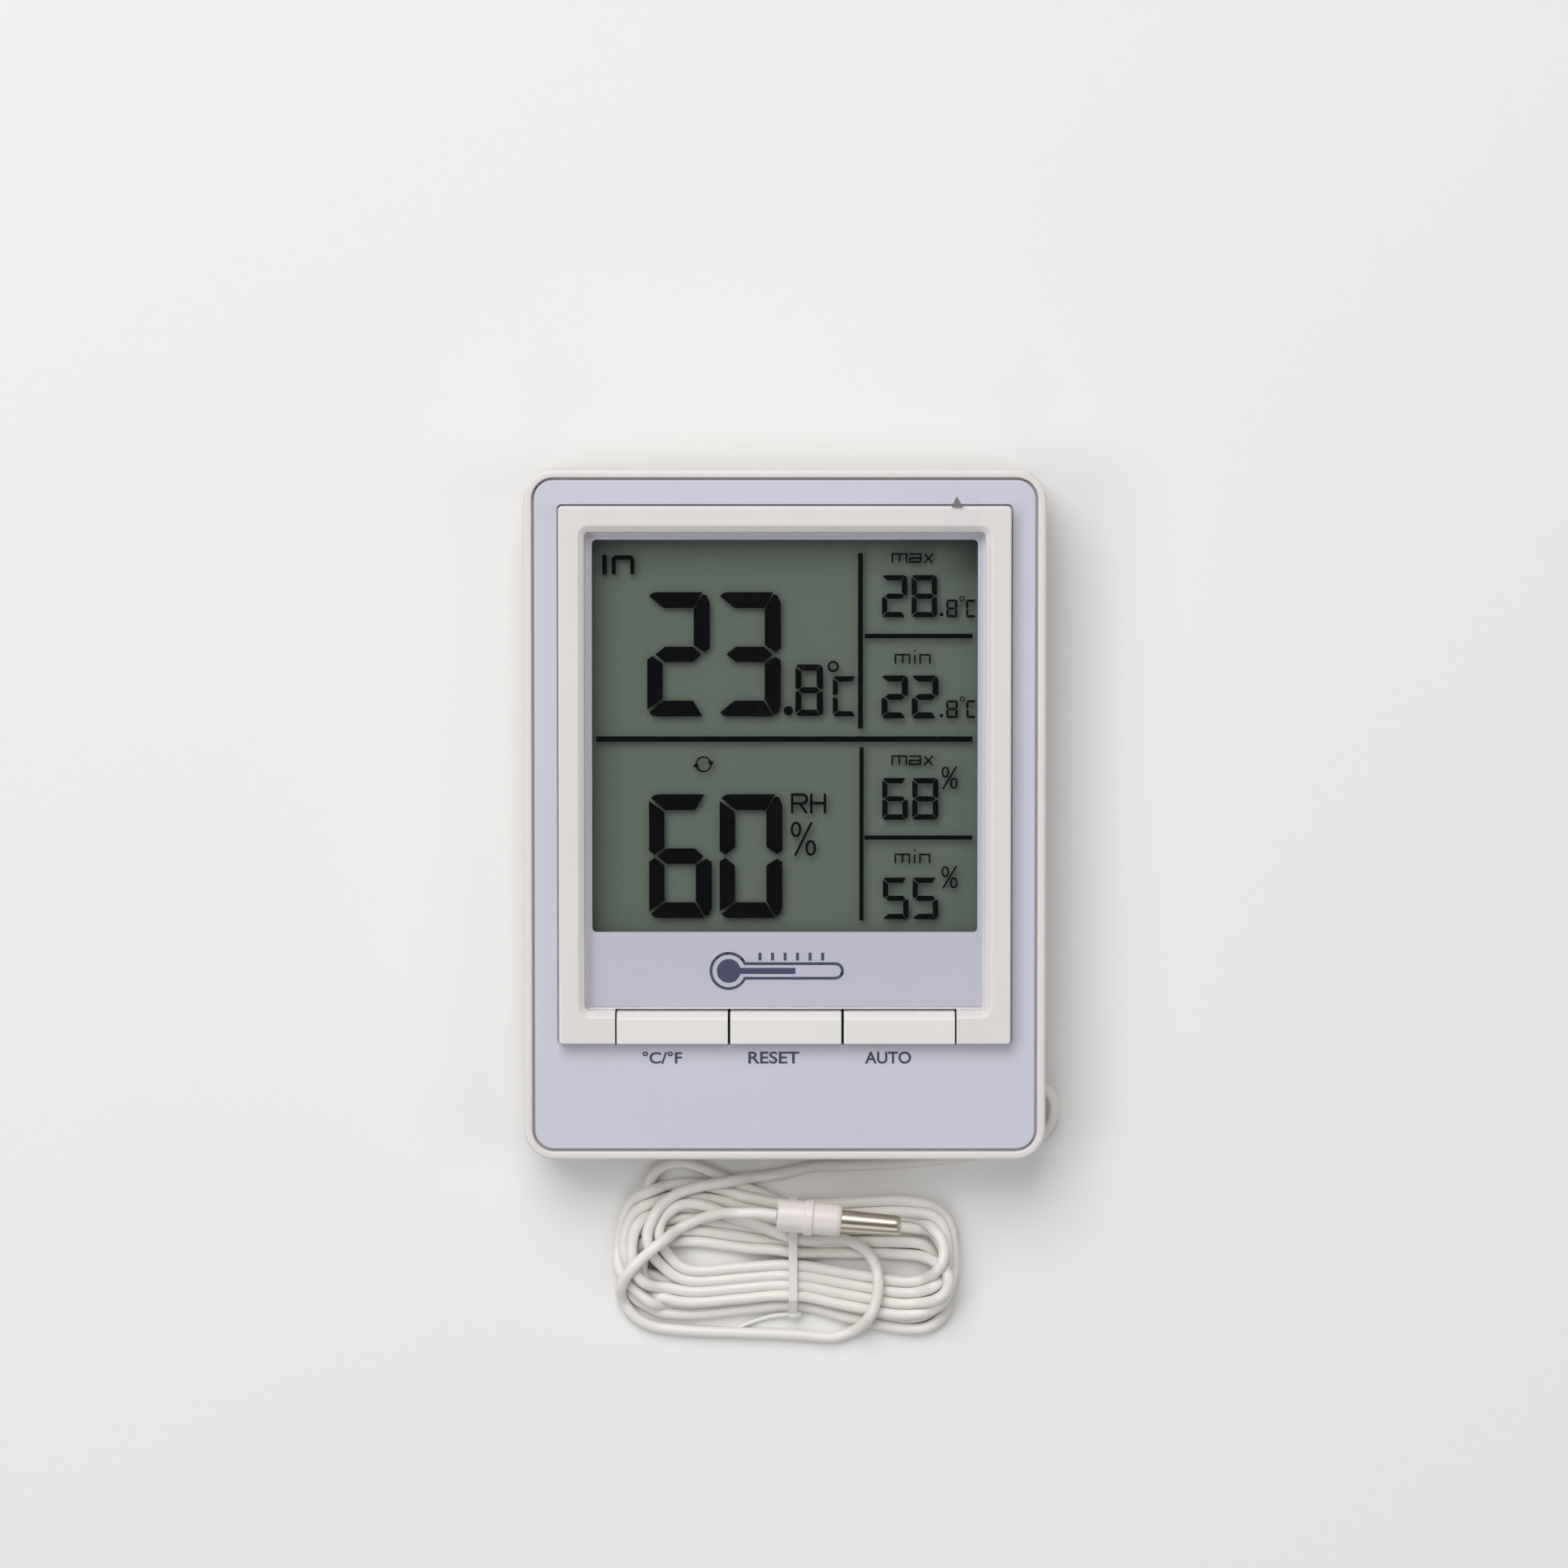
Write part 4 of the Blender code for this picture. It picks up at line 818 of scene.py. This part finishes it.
def section(levels, closed=False):
    """A mesh through the levels (outline, offset, height, rounding), each rounded if it asks."""
    made = bmesh.new()
    loops = [loop_of(made, *level[:3]) for level in levels]
    pairs = list(zip(loops, loops[1:]))
    if closed:
        pairs.append((loops[-1], loops[0]))
    else:
        made.faces.new(loops[0])
        made.faces.new(loops[-1])
    for one, other in pairs:
        for a, b, c, d in zip(one, one[1:] + one[:1], other[1:] + other[:1], other):
            made.faces.new((a, b, c, d))
    for loop, level in zip(loops, levels):
        if level[3] > 0:
            ring = [made.edges.get(pair) for pair in zip(loop, loop[1:] + loop[:1])]
            round_edges(made, ring, level[3], round_steps, clamp=False)
    return made


# %% Measures of the case
case_outline = (case_width, case_length, 5.8 * MM, 0.0)
frame_outline = (86.5 * MM, 103.0 * MM, 0.7 * MM, 7.74 * MM)
lens_width, lens_length = lens_high.x - lens_low.x, lens_high.y - lens_low.y
lens_middle = (lens_high.y + lens_low.y) / 2
window_gap = 0.6 * MM
window_outline = (lens_width + window_gap, lens_length + window_gap, 0.9 * MM, lens_middle)
view_outline = (73.8 * MM, 75.2 * MM, 0.9 * MM, 15.2 * MM)
rim_width = 1.6 * MM
wall = 2.0 * MM
frame_top = case_high.z
bevel_width = 1.3 * MM
bevel_depth = 1.0 * MM

# %% Mould the housing
made = section(
    [
        (case_outline, 0.0, case_low.z, 0.2 * MM),
        (case_outline, 0.0, rim_top, 0.7 * MM),
        (case_outline, -rim_width, rim_top, 0.35 * MM),
        (case_outline, -rim_width, deck_top, 0.0),
        (frame_outline, 0.0, deck_top, 0.0),
        (frame_outline, 0.0, frame_top, 0.4 * MM),
        (window_outline, bevel_width, frame_top, 0.25 * MM),
        (window_outline, 0.0, frame_top - bevel_depth, 0.15 * MM),
        (window_outline, 0.0, seat_top, 0.0),
        (view_outline, 0.4 * MM, seat_top, 0.0),
        (view_outline, 0.4 * MM, deck_under, 0.0),
        (case_outline, -wall, deck_under, 0.0),
        (case_outline, -wall, case_low.z, 0.0),
    ],
    closed=True,
)
housing = finish_piece(made, "case_front", "case", case_abs)
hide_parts("front_housing")

# %% [markdown]
# The keys sit in a slot in the frame's lower bar, open towards the window, and screw posts
# stand on the deck's underside. These are joined to the moulding and cut from it with exact
# booleans, because they cross its levels.

# %% Slot and posts
def join_or_cut(piece, made, operation):
    """Applies one exact boolean to a piece and removes the tool."""
    data = bpy.data.meshes.new("tool")
    bmesh.ops.recalc_face_normals(made, faces=made.faces)
    made.to_mesh(data)
    made.free()
    tool = add_object("tool", data)
    others = list(piece.modifiers)
    modifier = modify(
        piece, "tool", "BOOLEAN", operation=operation, solver="EXACT", object=tool,
    )
    for other in others:
        other.show_viewport = False
    graph = bpy.context.evaluated_depsgraph_get()
    result = bpy.data.meshes.new_from_object(piece.evaluated_get(graph), depsgraph=graph)
    result.name = piece.name
    for other in others:
        other.show_viewport = True
    piece.modifiers.remove(modifier)
    piece.data = result
    shade(result)
    bpy.data.objects.remove(tool)
    print(f"{piece.name}: {len(result.polygons)} faces after {operation.lower()}")


def block(made, low, high):
    """A box between two corners; returns its points."""
    points = bmesh.ops.create_cube(made, size=1.0)["verts"]
    bmesh.ops.scale(made, vec=high - low, verts=points)
    bmesh.ops.translate(made, vec=(low + high) / 2, verts=points)
    return points


def pegs(screws, radius, low, high):
    """Upright pegs on the screws' axes."""
    made = bmesh.new()
    for name in screws:
        screw_low, screw_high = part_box(name)
        middle = (screw_low + screw_high) / 2
        points = bmesh.ops.create_cone(
            made, cap_ends=True, segments=32, radius1=radius, radius2=radius, depth=high - low,
        )["verts"]
        bmesh.ops.translate(made, vec=(middle.x, middle.y, (low + high) / 2), verts=points)
    return made


key_names = ("unit", "reset", "auto")
key_boxes = [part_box(name + "_button") for name in key_names]
key_play = 0.3 * MM
inset = 0.7 * MM
row_low, row_high = key_boxes[0][0], key_boxes[2][1]
slot_low = Vector((row_low.x - key_play, row_low.y + inset, deck_under - 2 * MM))
slot_high = Vector((row_high.x + key_play, row_high.y - inset, frame_top + 2 * MM))
case_screws = [f"case_screw_{number}" for number in (1, 2, 3, 4)]
board_screws = [f"board_screw_{number}" for number in (1, 2, 3, 4)]
board_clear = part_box("main_board")[1].z + 0.3 * MM
into_deck = deck_under + 0.5 * MM
bore = 1.3 * MM
made = bmesh.new()
block(made, slot_low, slot_high)
join_or_cut(housing, made, "DIFFERENCE")
join_or_cut(housing, pegs(case_screws, 2.4 * MM, 6.0 * MM, into_deck), "UNION")
join_or_cut(housing, pegs(board_screws, 1.9 * MM, board_clear, into_deck), "UNION")
join_or_cut(housing, pegs(case_screws, bore, 0.0, 13.7 * MM), "DIFFERENCE")
join_or_cut(housing, pegs(board_screws, bore, 0.0, 15.8 * MM), "DIFFERENCE")

# %% [markdown]
# ## Keys
# Each key is a block whose upper edge slopes like the frame's inner edge, so that the row
# of keys closes the frame. A cube is cut by the sloping plane, closed and softened.

# %% Make the keys
for name, (key_low, key_high) in zip(key_names, key_boxes):
    flange_top = key_low.z + 0.7 * MM
    face_low = Vector((key_low.x, slot_low.y + key_play, flange_top - 0.1 * MM))
    face_high = Vector((key_high.x, slot_high.y - key_play, key_high.z))
    made = bmesh.new()
    block(made, face_low, face_high)
    slope_foot = Vector((0.0, face_high.y, face_high.z - bevel_depth))
    cut = bmesh.ops.bisect_plane(
        made, geom=made.verts[:] + made.edges[:] + made.faces[:], plane_co=slope_foot,
        plane_no=(0.0, bevel_depth, bevel_width), clear_outer=True,
    )["geom_cut"]
    bmesh.ops.edgeloop_fill(made, edges=[e for e in cut if isinstance(e, bmesh.types.BMEdge)])
    soft = [edge for edge in made.edges if max(v.co.z for v in edge.verts) > flange_top + MM]
    round_edges(made, soft, 0.22 * MM, 4)
    block(made, key_low, Vector((key_high.x, key_high.y, flange_top)))
    key = finish_piece(made, name + "_key", name + "_key", key_abs)
    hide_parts(name + "_button")

# %% [markdown]
# ## The face plate
# The plate is a flat pearl sheet that lies on the deck inside the rim and goes round the
# frame. Its edge is softened, which gives the bright line along the bottom of the case.

# %% Make the plate
plate_outline = (plate_high.x - plate_low.x, plate_high.y - plate_low.y, 3.6 * MM, 0.0)
frame_gap = 0.6 * MM
opening_outline = (
    frame_outline[0] + frame_gap, frame_outline[1] + frame_gap, 1.0 * MM, frame_outline[3],
)
plate_top = plate_high.z
made = section(
    [
        (plate_outline, 0.0, plate_low.z, 0.0),
        (plate_outline, 0.0, plate_top, 0.3 * MM),
        (opening_outline, 0.0, plate_top, 0.12 * MM),
        (opening_outline, 0.0, plate_low.z, 0.0),
    ],
    closed=True,
)
plate = finish_piece(made, "plate_panel", "case", plate_pearl)
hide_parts("face_plate")

# %% [markdown]
# The words for the three keys are printed on the plate below them. Each is set as a text,
# made a mesh, then fitted to the printed width and cap height.

# %% Print the words
label_y = -46.6 * MM
cap_height = 2.35 * MM
print_thickness = 0.03 * MM
for name, words, middle_x, label_width in (
    ("label_unit", "°C/°F", -23.5, 7.6),
    ("label_reset", "RESET", -2.1, 9.8),
    ("label_auto", "AUTO", 19.8, 8.85),
):
    text = bpy.data.curves.new(name + "_text", "FONT")
    text.body = words
    text.size = 3.2 * MM
    text.offset = 0.06 * MM
    text.extrude = print_thickness
    text_object = add_object(name + "_text", text)
    graph = bpy.context.evaluated_depsgraph_get()
    data = bpy.data.meshes.new_from_object(text_object.evaluated_get(graph), depsgraph=graph)
    data.name = name
    bpy.data.objects.remove(text_object)
    corners = np.array([corner.co for corner in data.vertices])
    low, high = corners.min(0), corners.max(0)
    wide, tall = high[0] - low[0], high[1] - low[1]
    fit = Matrix.Diagonal((label_width * MM / wide, cap_height / tall, 1, 1))
    centre = Matrix.Translation((-(low[0] + high[0]) / 2, -(low[1] + high[1]) / 2, 0))
    place = Matrix.Translation((middle_x * MM, label_y, plate_top + 0.01 * MM))
    data.transform(place @ fit @ centre)
    data.materials.clear()
    data.materials.append(slate_ink)
    label = add_object(name, data)
    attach(label, "case")

# %% [markdown]
# ## The window
# The clear window is a flat acrylic sheet with polished bevels. A frame is printed on its
# back, which hides the edge of the display, with a small thermometer sign below the view.

# %% Window and its printed frame
lens_outline = (lens_width, lens_length, 0.6 * MM, lens_middle)
made = section(
    [(lens_outline, 0.0, lens_low.z, 0.12 * MM), (lens_outline, 0.0, lens_high.z, 0.35 * MM)],
)
window = finish_piece(made, "window_lens", "case", window_acrylic)
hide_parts("display_lens")

border_low = lens_low.z - 0.18 * MM
border_high = lens_low.z - 0.06 * MM
made = section(
    [
        (lens_outline, -0.3 * MM, border_low, 0.0),
        (lens_outline, -0.3 * MM, border_high, 0.0),
        (view_outline, 0.0, border_high, 0.0),
        (view_outline, 0.0, border_low, 0.0),
    ],
    closed=True,
)
finish_piece(made, "lens_border", "case", border_ink)

# %% [markdown]
# Printed signs and display segments are flat shapes: outlines filled with a face and raised
# by the print's thickness, or strokes of one width along a line. Both kinds are collected
# in one mesh.

# %% Flat shapes and strokes
def plate_of(made, outline, low, high):
    """One filled outline, raised from low to high."""
    corners = [made.verts.new((x * MM, y * MM, low)) for x, y in outline]
    face = made.faces.new(corners)
    move_new(made, bmesh.ops.extrude_face_region(made, geom=[face]), (0, 0, high - low))


def stroke(made, line, width, low, high, ring=False):
    """One stroke of a constant width along a line, with mitred turns."""
    points = [Vector(point) for point in line]
    count = len(points)
    left, right = [], []
    for number, point in enumerate(points):
        before = points[number - 1] if number or ring else None
        after = points[(number + 1) % count] if number < count - 1 or ring else None
        ways = []
        if before is not None:
            ways.append((point - before).normalized())
        if after is not None:
            ways.append((after - point).normalized())
        way = sum(ways, Vector((0.0, 0.0))).normalized()
        side = Vector((-way.y, way.x))
        reach = width / 2 / max(side.dot(Vector((-ways[0].y, ways[0].x))), 0.5)
        left.append(point + side * reach)
        right.append(point - side * reach)
    pairs = list(zip(range(count), range(1, count)))
    if ring:
        pairs.append((count - 1, 0))
    for one, other in pairs:
        plate_of(made, [left[one], right[one], right[other], left[other]], low, high)


def arc(middle, half_width, half_height, start, end, steps=20):
    """Points along part of an ellipse, angles in degrees, anticlockwise from the right."""
    angles = np.radians(np.linspace(start, end, steps))
    return [
        (middle[0] + half_width * math.cos(a), middle[1] + half_height * math.sin(a))
        for a in angles
    ]


def ellipse(middle, half_width, half_height):
    return arc(middle, half_width, half_height, 0, 345, 24)


# %% The thermometer sign
made = bmesh.new()
sign_low = border_high + 0.01 * MM
sign_high = border_high + 0.04 * MM
sign_x, sign_y = -1.55, -29.9
bulb = arc((sign_x - 9.2, sign_y), 3.4, 3.4, 24.5, 335.5, 40)
glass = bulb + arc((sign_x + 11.2, sign_y), 1.4, 1.4, -90, 90, 16)
stroke(made, glass, 0.55, sign_low, sign_high, ring=True)
filling = arc((sign_x - 9.2, sign_y), 2.3, 2.3, 15, 345, 40)
filling += [(sign_x + 3.6, sign_y - 0.6), (sign_x + 3.6, sign_y + 0.6)]
plate_of(made, filling, sign_low, sign_high)
for number in range(6):
    mark_x = sign_x - 3.2 + 2.4 * number
    stroke(made, [(mark_x, sign_y + 2.0), (mark_x, sign_y + 3.5)], 0.6, sign_low, sign_high)
finish_piece(made, "thermometer_sign", "case", slate_ink)

# %% [markdown]
# ## The display
# The dark segments of a liquid crystal lie between the two glasses, over a silvery foil,
# so each casts a soft shadow on the foil behind it. A digit is made of up to seven bars
# with slanted ends. Places are counted from the view's upper left corner.

# %% Bars of a digit
half_way = {"a": "d", "b": "c", "f": "e"}
digit_bars = {
    "0": "abcdef", "2": "abged", "3": "abgcd", "5": "afgcd", "6": "afgecd", "8": "abcdefg",
    "C": "afed",
}


def bar_outline(bar, w, h, t):
    """The outline of one bar in a digit of width w, height h and stroke t, Y down."""
    if bar == "a":
        return [
            (0.64 * t, 0), (w - 0.45 * t, 0), (w - 1.06 * t, t), (1.04 * t, t),
            (0.12 * t, 0.26 * t), (0.3 * t, 0.06 * t),
        ]
    if bar == "b":
        return [
            (w - 0.46 * t, 0.12 * t), (w - 0.2 * t, 0.2 * t), (w, 0.67 * t), (w, h / 2 - 0.36 * t),
            (w - 0.34 * t, h / 2 - 0.15 * t), (w - 1.01 * t, h / 2 - 0.59 * t),
            (w - 1.01 * t, 1.1 * t),
        ]
    if bar == "f":
        return [
            (0, 0.42 * t), (0.97 * t, 1.13 * t), (0.97 * t, h / 2 - 0.59 * t),
            (0.36 * t, h / 2 - 0.1 * t), (0, h / 2 - 0.33 * t),
        ]
    if bar == "g":
        return [
            (0.51 * t, h / 2), (1.13 * t, h / 2 - 0.49 * t), (w - 1.08 * t, h / 2 - 0.49 * t),
            (w - 0.52 * t, h / 2), (w - 1.08 * t, h / 2 + 0.49 * t), (1.13 * t, h / 2 + 0.49 * t),
        ]
    above = {lower: upper for upper, lower in half_way.items()}[bar]
    return [(x, h - y) for x, y in bar_outline(above, w, h, t)]


# %% Fill the display
corner_x, corner_y = -36.9, 52.8
segments_low = rear_glass_high.z + 0.03 * MM
segments_high = front_glass_low.z - 0.03 * MM
digits = [
    ("2", 10.52, 10.21, 12.0, 23.84, 3.04), ("3", 24.13, 10.21, 12.0, 23.84, 3.04),
    ("8", 38.93, 24.07, 5.3, 9.88, 1.2), ("C", 46.09, 26.33, 4.75, 7.71, 1.01),
    ("6", 10.84, 49.0, 12.04, 23.84, 3.04), ("0", 24.39, 49.0, 12.04, 23.84, 3.04),
    ("2", 55.52, 6.93, 4.83, 8.1, 1.03), ("8", 61.17, 6.93, 4.91, 8.1, 1.03),
    ("8", 67.84, 11.61, 2.13, 3.43, 0.47), ("C", 71.61, 11.61, 2.06, 3.43, 0.47),
    ("2", 55.44, 26.17, 5.06, 8.26, 1.18), ("2", 61.23, 26.17, 5.14, 8.26, 1.18),
    ("8", 67.84, 30.93, 2.24, 3.43, 0.47), ("C", 71.7, 30.93, 2.04, 3.43, 0.47),
    ("6", 55.6, 45.88, 4.91, 8.02, 1.03), ("8", 61.36, 45.88, 4.99, 8.02, 1.03),
    ("5", 55.75, 65.04, 4.91, 8.02, 1.03), ("5", 61.44, 65.04, 4.91, 8.02, 1.03),
]
dots = [(37.6, 32.92, 0.89), (66.94, 14.49, 0.36), (66.94, 33.89, 0.36)]
degree_rings = [(46.17, 24.45, 0.89, 0.41), (70.83, 11.45, 0.41, 0.23), (70.96, 30.71, 0.41, 0.23)]
rules = [
    (51.39, 2.73, 51.39, 36.38, 0.93), (0.76, 38.4, 72.89, 38.4, 1.03),
    (52.23, 18.62, 72.89, 18.62, 0.86), (51.62, 39.96, 51.62, 73.3, 0.78),
    (52.17, 57.33, 72.89, 57.33, 0.78),
]
made = bmesh.new()


def seen(points):
    """Places counted from the view's corner, Y down, turned into millimetres of the frame."""
    return [(corner_x + x, corner_y - y) for x, y in points]


def drawn(points, width, ring=False):
    stroke(made, seen(points), width, segments_low, segments_high, ring)


for digit, x, y, w, h, t in digits:
    for bar in digit_bars[digit]:
        outline = [(x + u, y + v) for u, v in bar_outline(bar, w, h, t)]
        plate_of(made, seen(outline), segments_low, segments_high)
for x, y, radius in dots:
    plate_of(made, seen(ellipse((x, y), radius, radius)), segments_low, segments_high)
for x, y, radius, width in degree_rings:
    drawn(ellipse((x, y), radius, radius), width, ring=True)
for x1, y1, x2, y2, width in rules:
    drawn([(x1, y1), (x2, y2)], width)
print("display bars so far:", len(made.faces), "faces")

# %% [markdown]
# The small signs are strokes too: IN for the indoor row, RH for relative humidity, MAX and
# MIN beside their values, the percent signs, and two turning arrows for the key that cycles.

# %% Small signs of the display
signs = [
    (0.85, [(2.38, 3.04), (2.38, 6.78)]),
    (0.8, [(4.11, 6.78), (4.11, 3.9), (4.46, 3.54), (7.35, 3.54), (7.7, 3.9), (7.7, 6.78)]),
    (0.5, [(38.33, 52.66), (38.33, 49.08), (40.48, 49.08), (41.08, 49.47), (41.18, 49.93),
           (40.95, 50.48), (40.41, 50.79), (38.33, 50.79)]),
    (0.5, [(39.86, 50.87), (41.11, 52.66)]),
    (0.5, [(41.98, 48.87), (41.98, 52.71)]),
    (0.5, [(44.61, 48.87), (44.61, 52.71)]),
    (0.5, [(41.98, 50.71), (44.61, 50.71)]),
    (0.45, [(42.07, 54.37), (38.85, 60.84)]),
]
max_sign = [
    [(57.5, 4.6), (57.5, 2.88), (60.24, 2.88), (60.24, 4.6)],
    [(58.87, 2.88), (58.87, 4.44)],
    [(60.74, 2.88), (62.92, 2.88), (62.92, 4.5)],
    [(62.92, 4.44), (60.85, 4.44), (60.85, 3.71), (62.84, 3.71)],
    [(63.7, 2.88), (65.25, 4.6)],
    [(65.33, 2.81), (63.62, 4.6)],
]
min_sign = [
    [(58.13, 23.92), (58.13, 22.2), (60.81, 22.2), (60.81, 23.92)],
    [(59.49, 22.2), (59.49, 23.76)],
    [(61.83, 22.28), (61.83, 23.92)],
    [(61.67, 21.42), (62.0, 21.42)],
    [(62.84, 23.92), (62.84, 22.23), (64.71, 22.23), (64.71, 23.92)],
]
for width, line in signs:
    drawn(line, width)
for sign, step_down in ((max_sign, 38.8), (min_sign, 38.36)):
    for down in (0.0, step_down):
        for line in sign:
            drawn([(x, y + down) for x, y in line], 0.33)
for middle in ((39.05, 55.77), (41.89, 59.33)):
    drawn(ellipse(middle, 0.81, 1.28), 0.45, ring=True)
for top in (43.55, 62.71):
    drawn([(69.85, top + 0.1), (67.25, top + 4.42)], 0.35)
    drawn(ellipse((67.72, top + 1.2), 0.58, 0.9), 0.33, ring=True)
    drawn(ellipse((69.35, top + 3.35), 0.58, 0.9), 0.33, ring=True)
cycle = (21.32, 43.23)
drawn(arc(cycle, 1.4, 1.4, 195, 345), 0.3)
drawn(arc(cycle, 1.4, 1.4, 15, 165), 0.3)
for side in (1, -1):
    tip, base = cycle[0] + side * 1.4, cycle[1] - side * 0.55
    arrow = [(tip - 0.65, base), (tip + 0.65, base), (tip, cycle[1] + side * 0.45)]
    plate_of(made, seen(arrow), segments_low, segments_high)
finish_piece(made, "lcd_segments", "case", crystal_black)

# %% [markdown]
# ## The film's pull tab
# The factory film over the window has a clear pull tab. It climbs the frame's bevel and
# curls a little above the top bar, with a printed triangle that points away.

# %% Lay the tab
tab_left, tab_right = 30.1, 37.1
tab_lift = film_top / MM + 0.12
tab_line = [
    (49.6, tab_lift), (53.4, tab_lift), (54.6, 20.1), (55.9, 20.86),
    (57.6, 20.95), (59.3, 20.86), (60.4, 21.0), (61.3, 21.25),
]
made = bmesh.new()
stations = smooth_line(np.array([(0.0, y, z) for y, z in tab_line]), 0.4)
tab_strips = 8
across = np.linspace(tab_left, tab_right, tab_strips + 1)
ladder = []
for _, y, z in stations:
    ladder.append([made.verts.new((x * MM, y * MM, z * MM)) for x in across])
for lower, upper in zip(ladder, ladder[1:]):
    for near in range(tab_strips):
        made.faces.new((lower[near], lower[near + 1], upper[near + 1], upper[near]))
bmesh.ops.recalc_face_normals(made, faces=made.faces)
bmesh.ops.solidify(made, geom=made.faces[:], thickness=0.08 * MM)
finish_piece(made, "film_tab", "case", film_pet)
made = bmesh.new()
arrow_z = 21.12
arrow = [(31.75, 59.12), (34.01, 59.12), (32.76, 61.2)]
plate_of(made, arrow, arrow_z * MM, (arrow_z + 0.03) * MM)
finish_piece(made, "tab_arrow", "case", arrow_ink)

# %% [markdown]
# ## Solids that stay
# The rest of the object shows as the exact solids: the back cover with its stand and door,
# the circuit board and what is soldered to it, the display's glasses, the cell and its
# contacts, and the screws. Each gets its own material. Their triangles are merged and
# flattened again, so that a small bevel can soften the edges as a mould or a saw leaves them.

# %% Materials of the solids
stays = {
    back_abs: ["back_cover", "stand_leg", "battery_door"],
    screw_zinc: case_screws + board_screws,
    cell_glass: ["lcd_front_glass", "lcd_rear_glass"],
    foil: ["lcd_reflector"],
    carrier_abs: ["lcd_holder"],
    strip_rubber: ["zebra_strip"],
    board_fr4: ["main_board"],
    epoxy_black: ["chip_blob", "room_thermistor", "probe_thermistor"],
    solder_tin: ["clock_crystal"],
    sensor_ceramic: ["humidity_sensor"],
    switch_pa: [name + "_switch" for name in key_names],
    plunger_pbt: [name + "_plunger" for name in key_names],
    cell_can: ["battery"],
    spring_nickel: ["battery_contact_plus", "battery_contact_minus", "battery_spring"],
    wire_red: ["battery_wire_plus"],
    wire_black: ["battery_wire_minus"],
    wire_white: ["sensor_wire"],
    bush_rubber: ["cable_grommet"],
    film_pet: ["protective_film"],
}
edge_softening = {
    "back_cover": 0.3, "stand_leg": 0.35, "battery_door": 0.3, "main_board": 0.08,
    "humidity_sensor": 0.12, "lcd_holder": 0.12, "cable_grommet": 0.2,
}
for material, names in stays.items():
    for name in names:
        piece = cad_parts[name]
        piece.data.materials.clear()
        piece.data.materials.append(material)
        piece.data.polygons.foreach_set("use_smooth", [True] * len(piece.data.polygons))
        modify(piece, "merge", "WELD", merge_threshold=0.002 * MM)
        if name in edge_softening:
            modify(
                piece, "flatten", "DECIMATE",
                decimate_type="DISSOLVE", angle_limit=math.radians(1.0),
            )
            modify(
                piece, "soften", "BEVEL", width=edge_softening[name] * MM, segments=3,
                limit_method="ANGLE", angle_limit=math.radians(50), use_clamp_overlap=True,
            )
        modify(piece, "sharp_edges", "EDGE_SPLIT", split_angle=math.radians(38))
        modify(piece, "level_faces", "WEIGHTED_NORMAL", keep_sharp=True)
print(sum(len(names) for names in stays.values()), "solids stay")
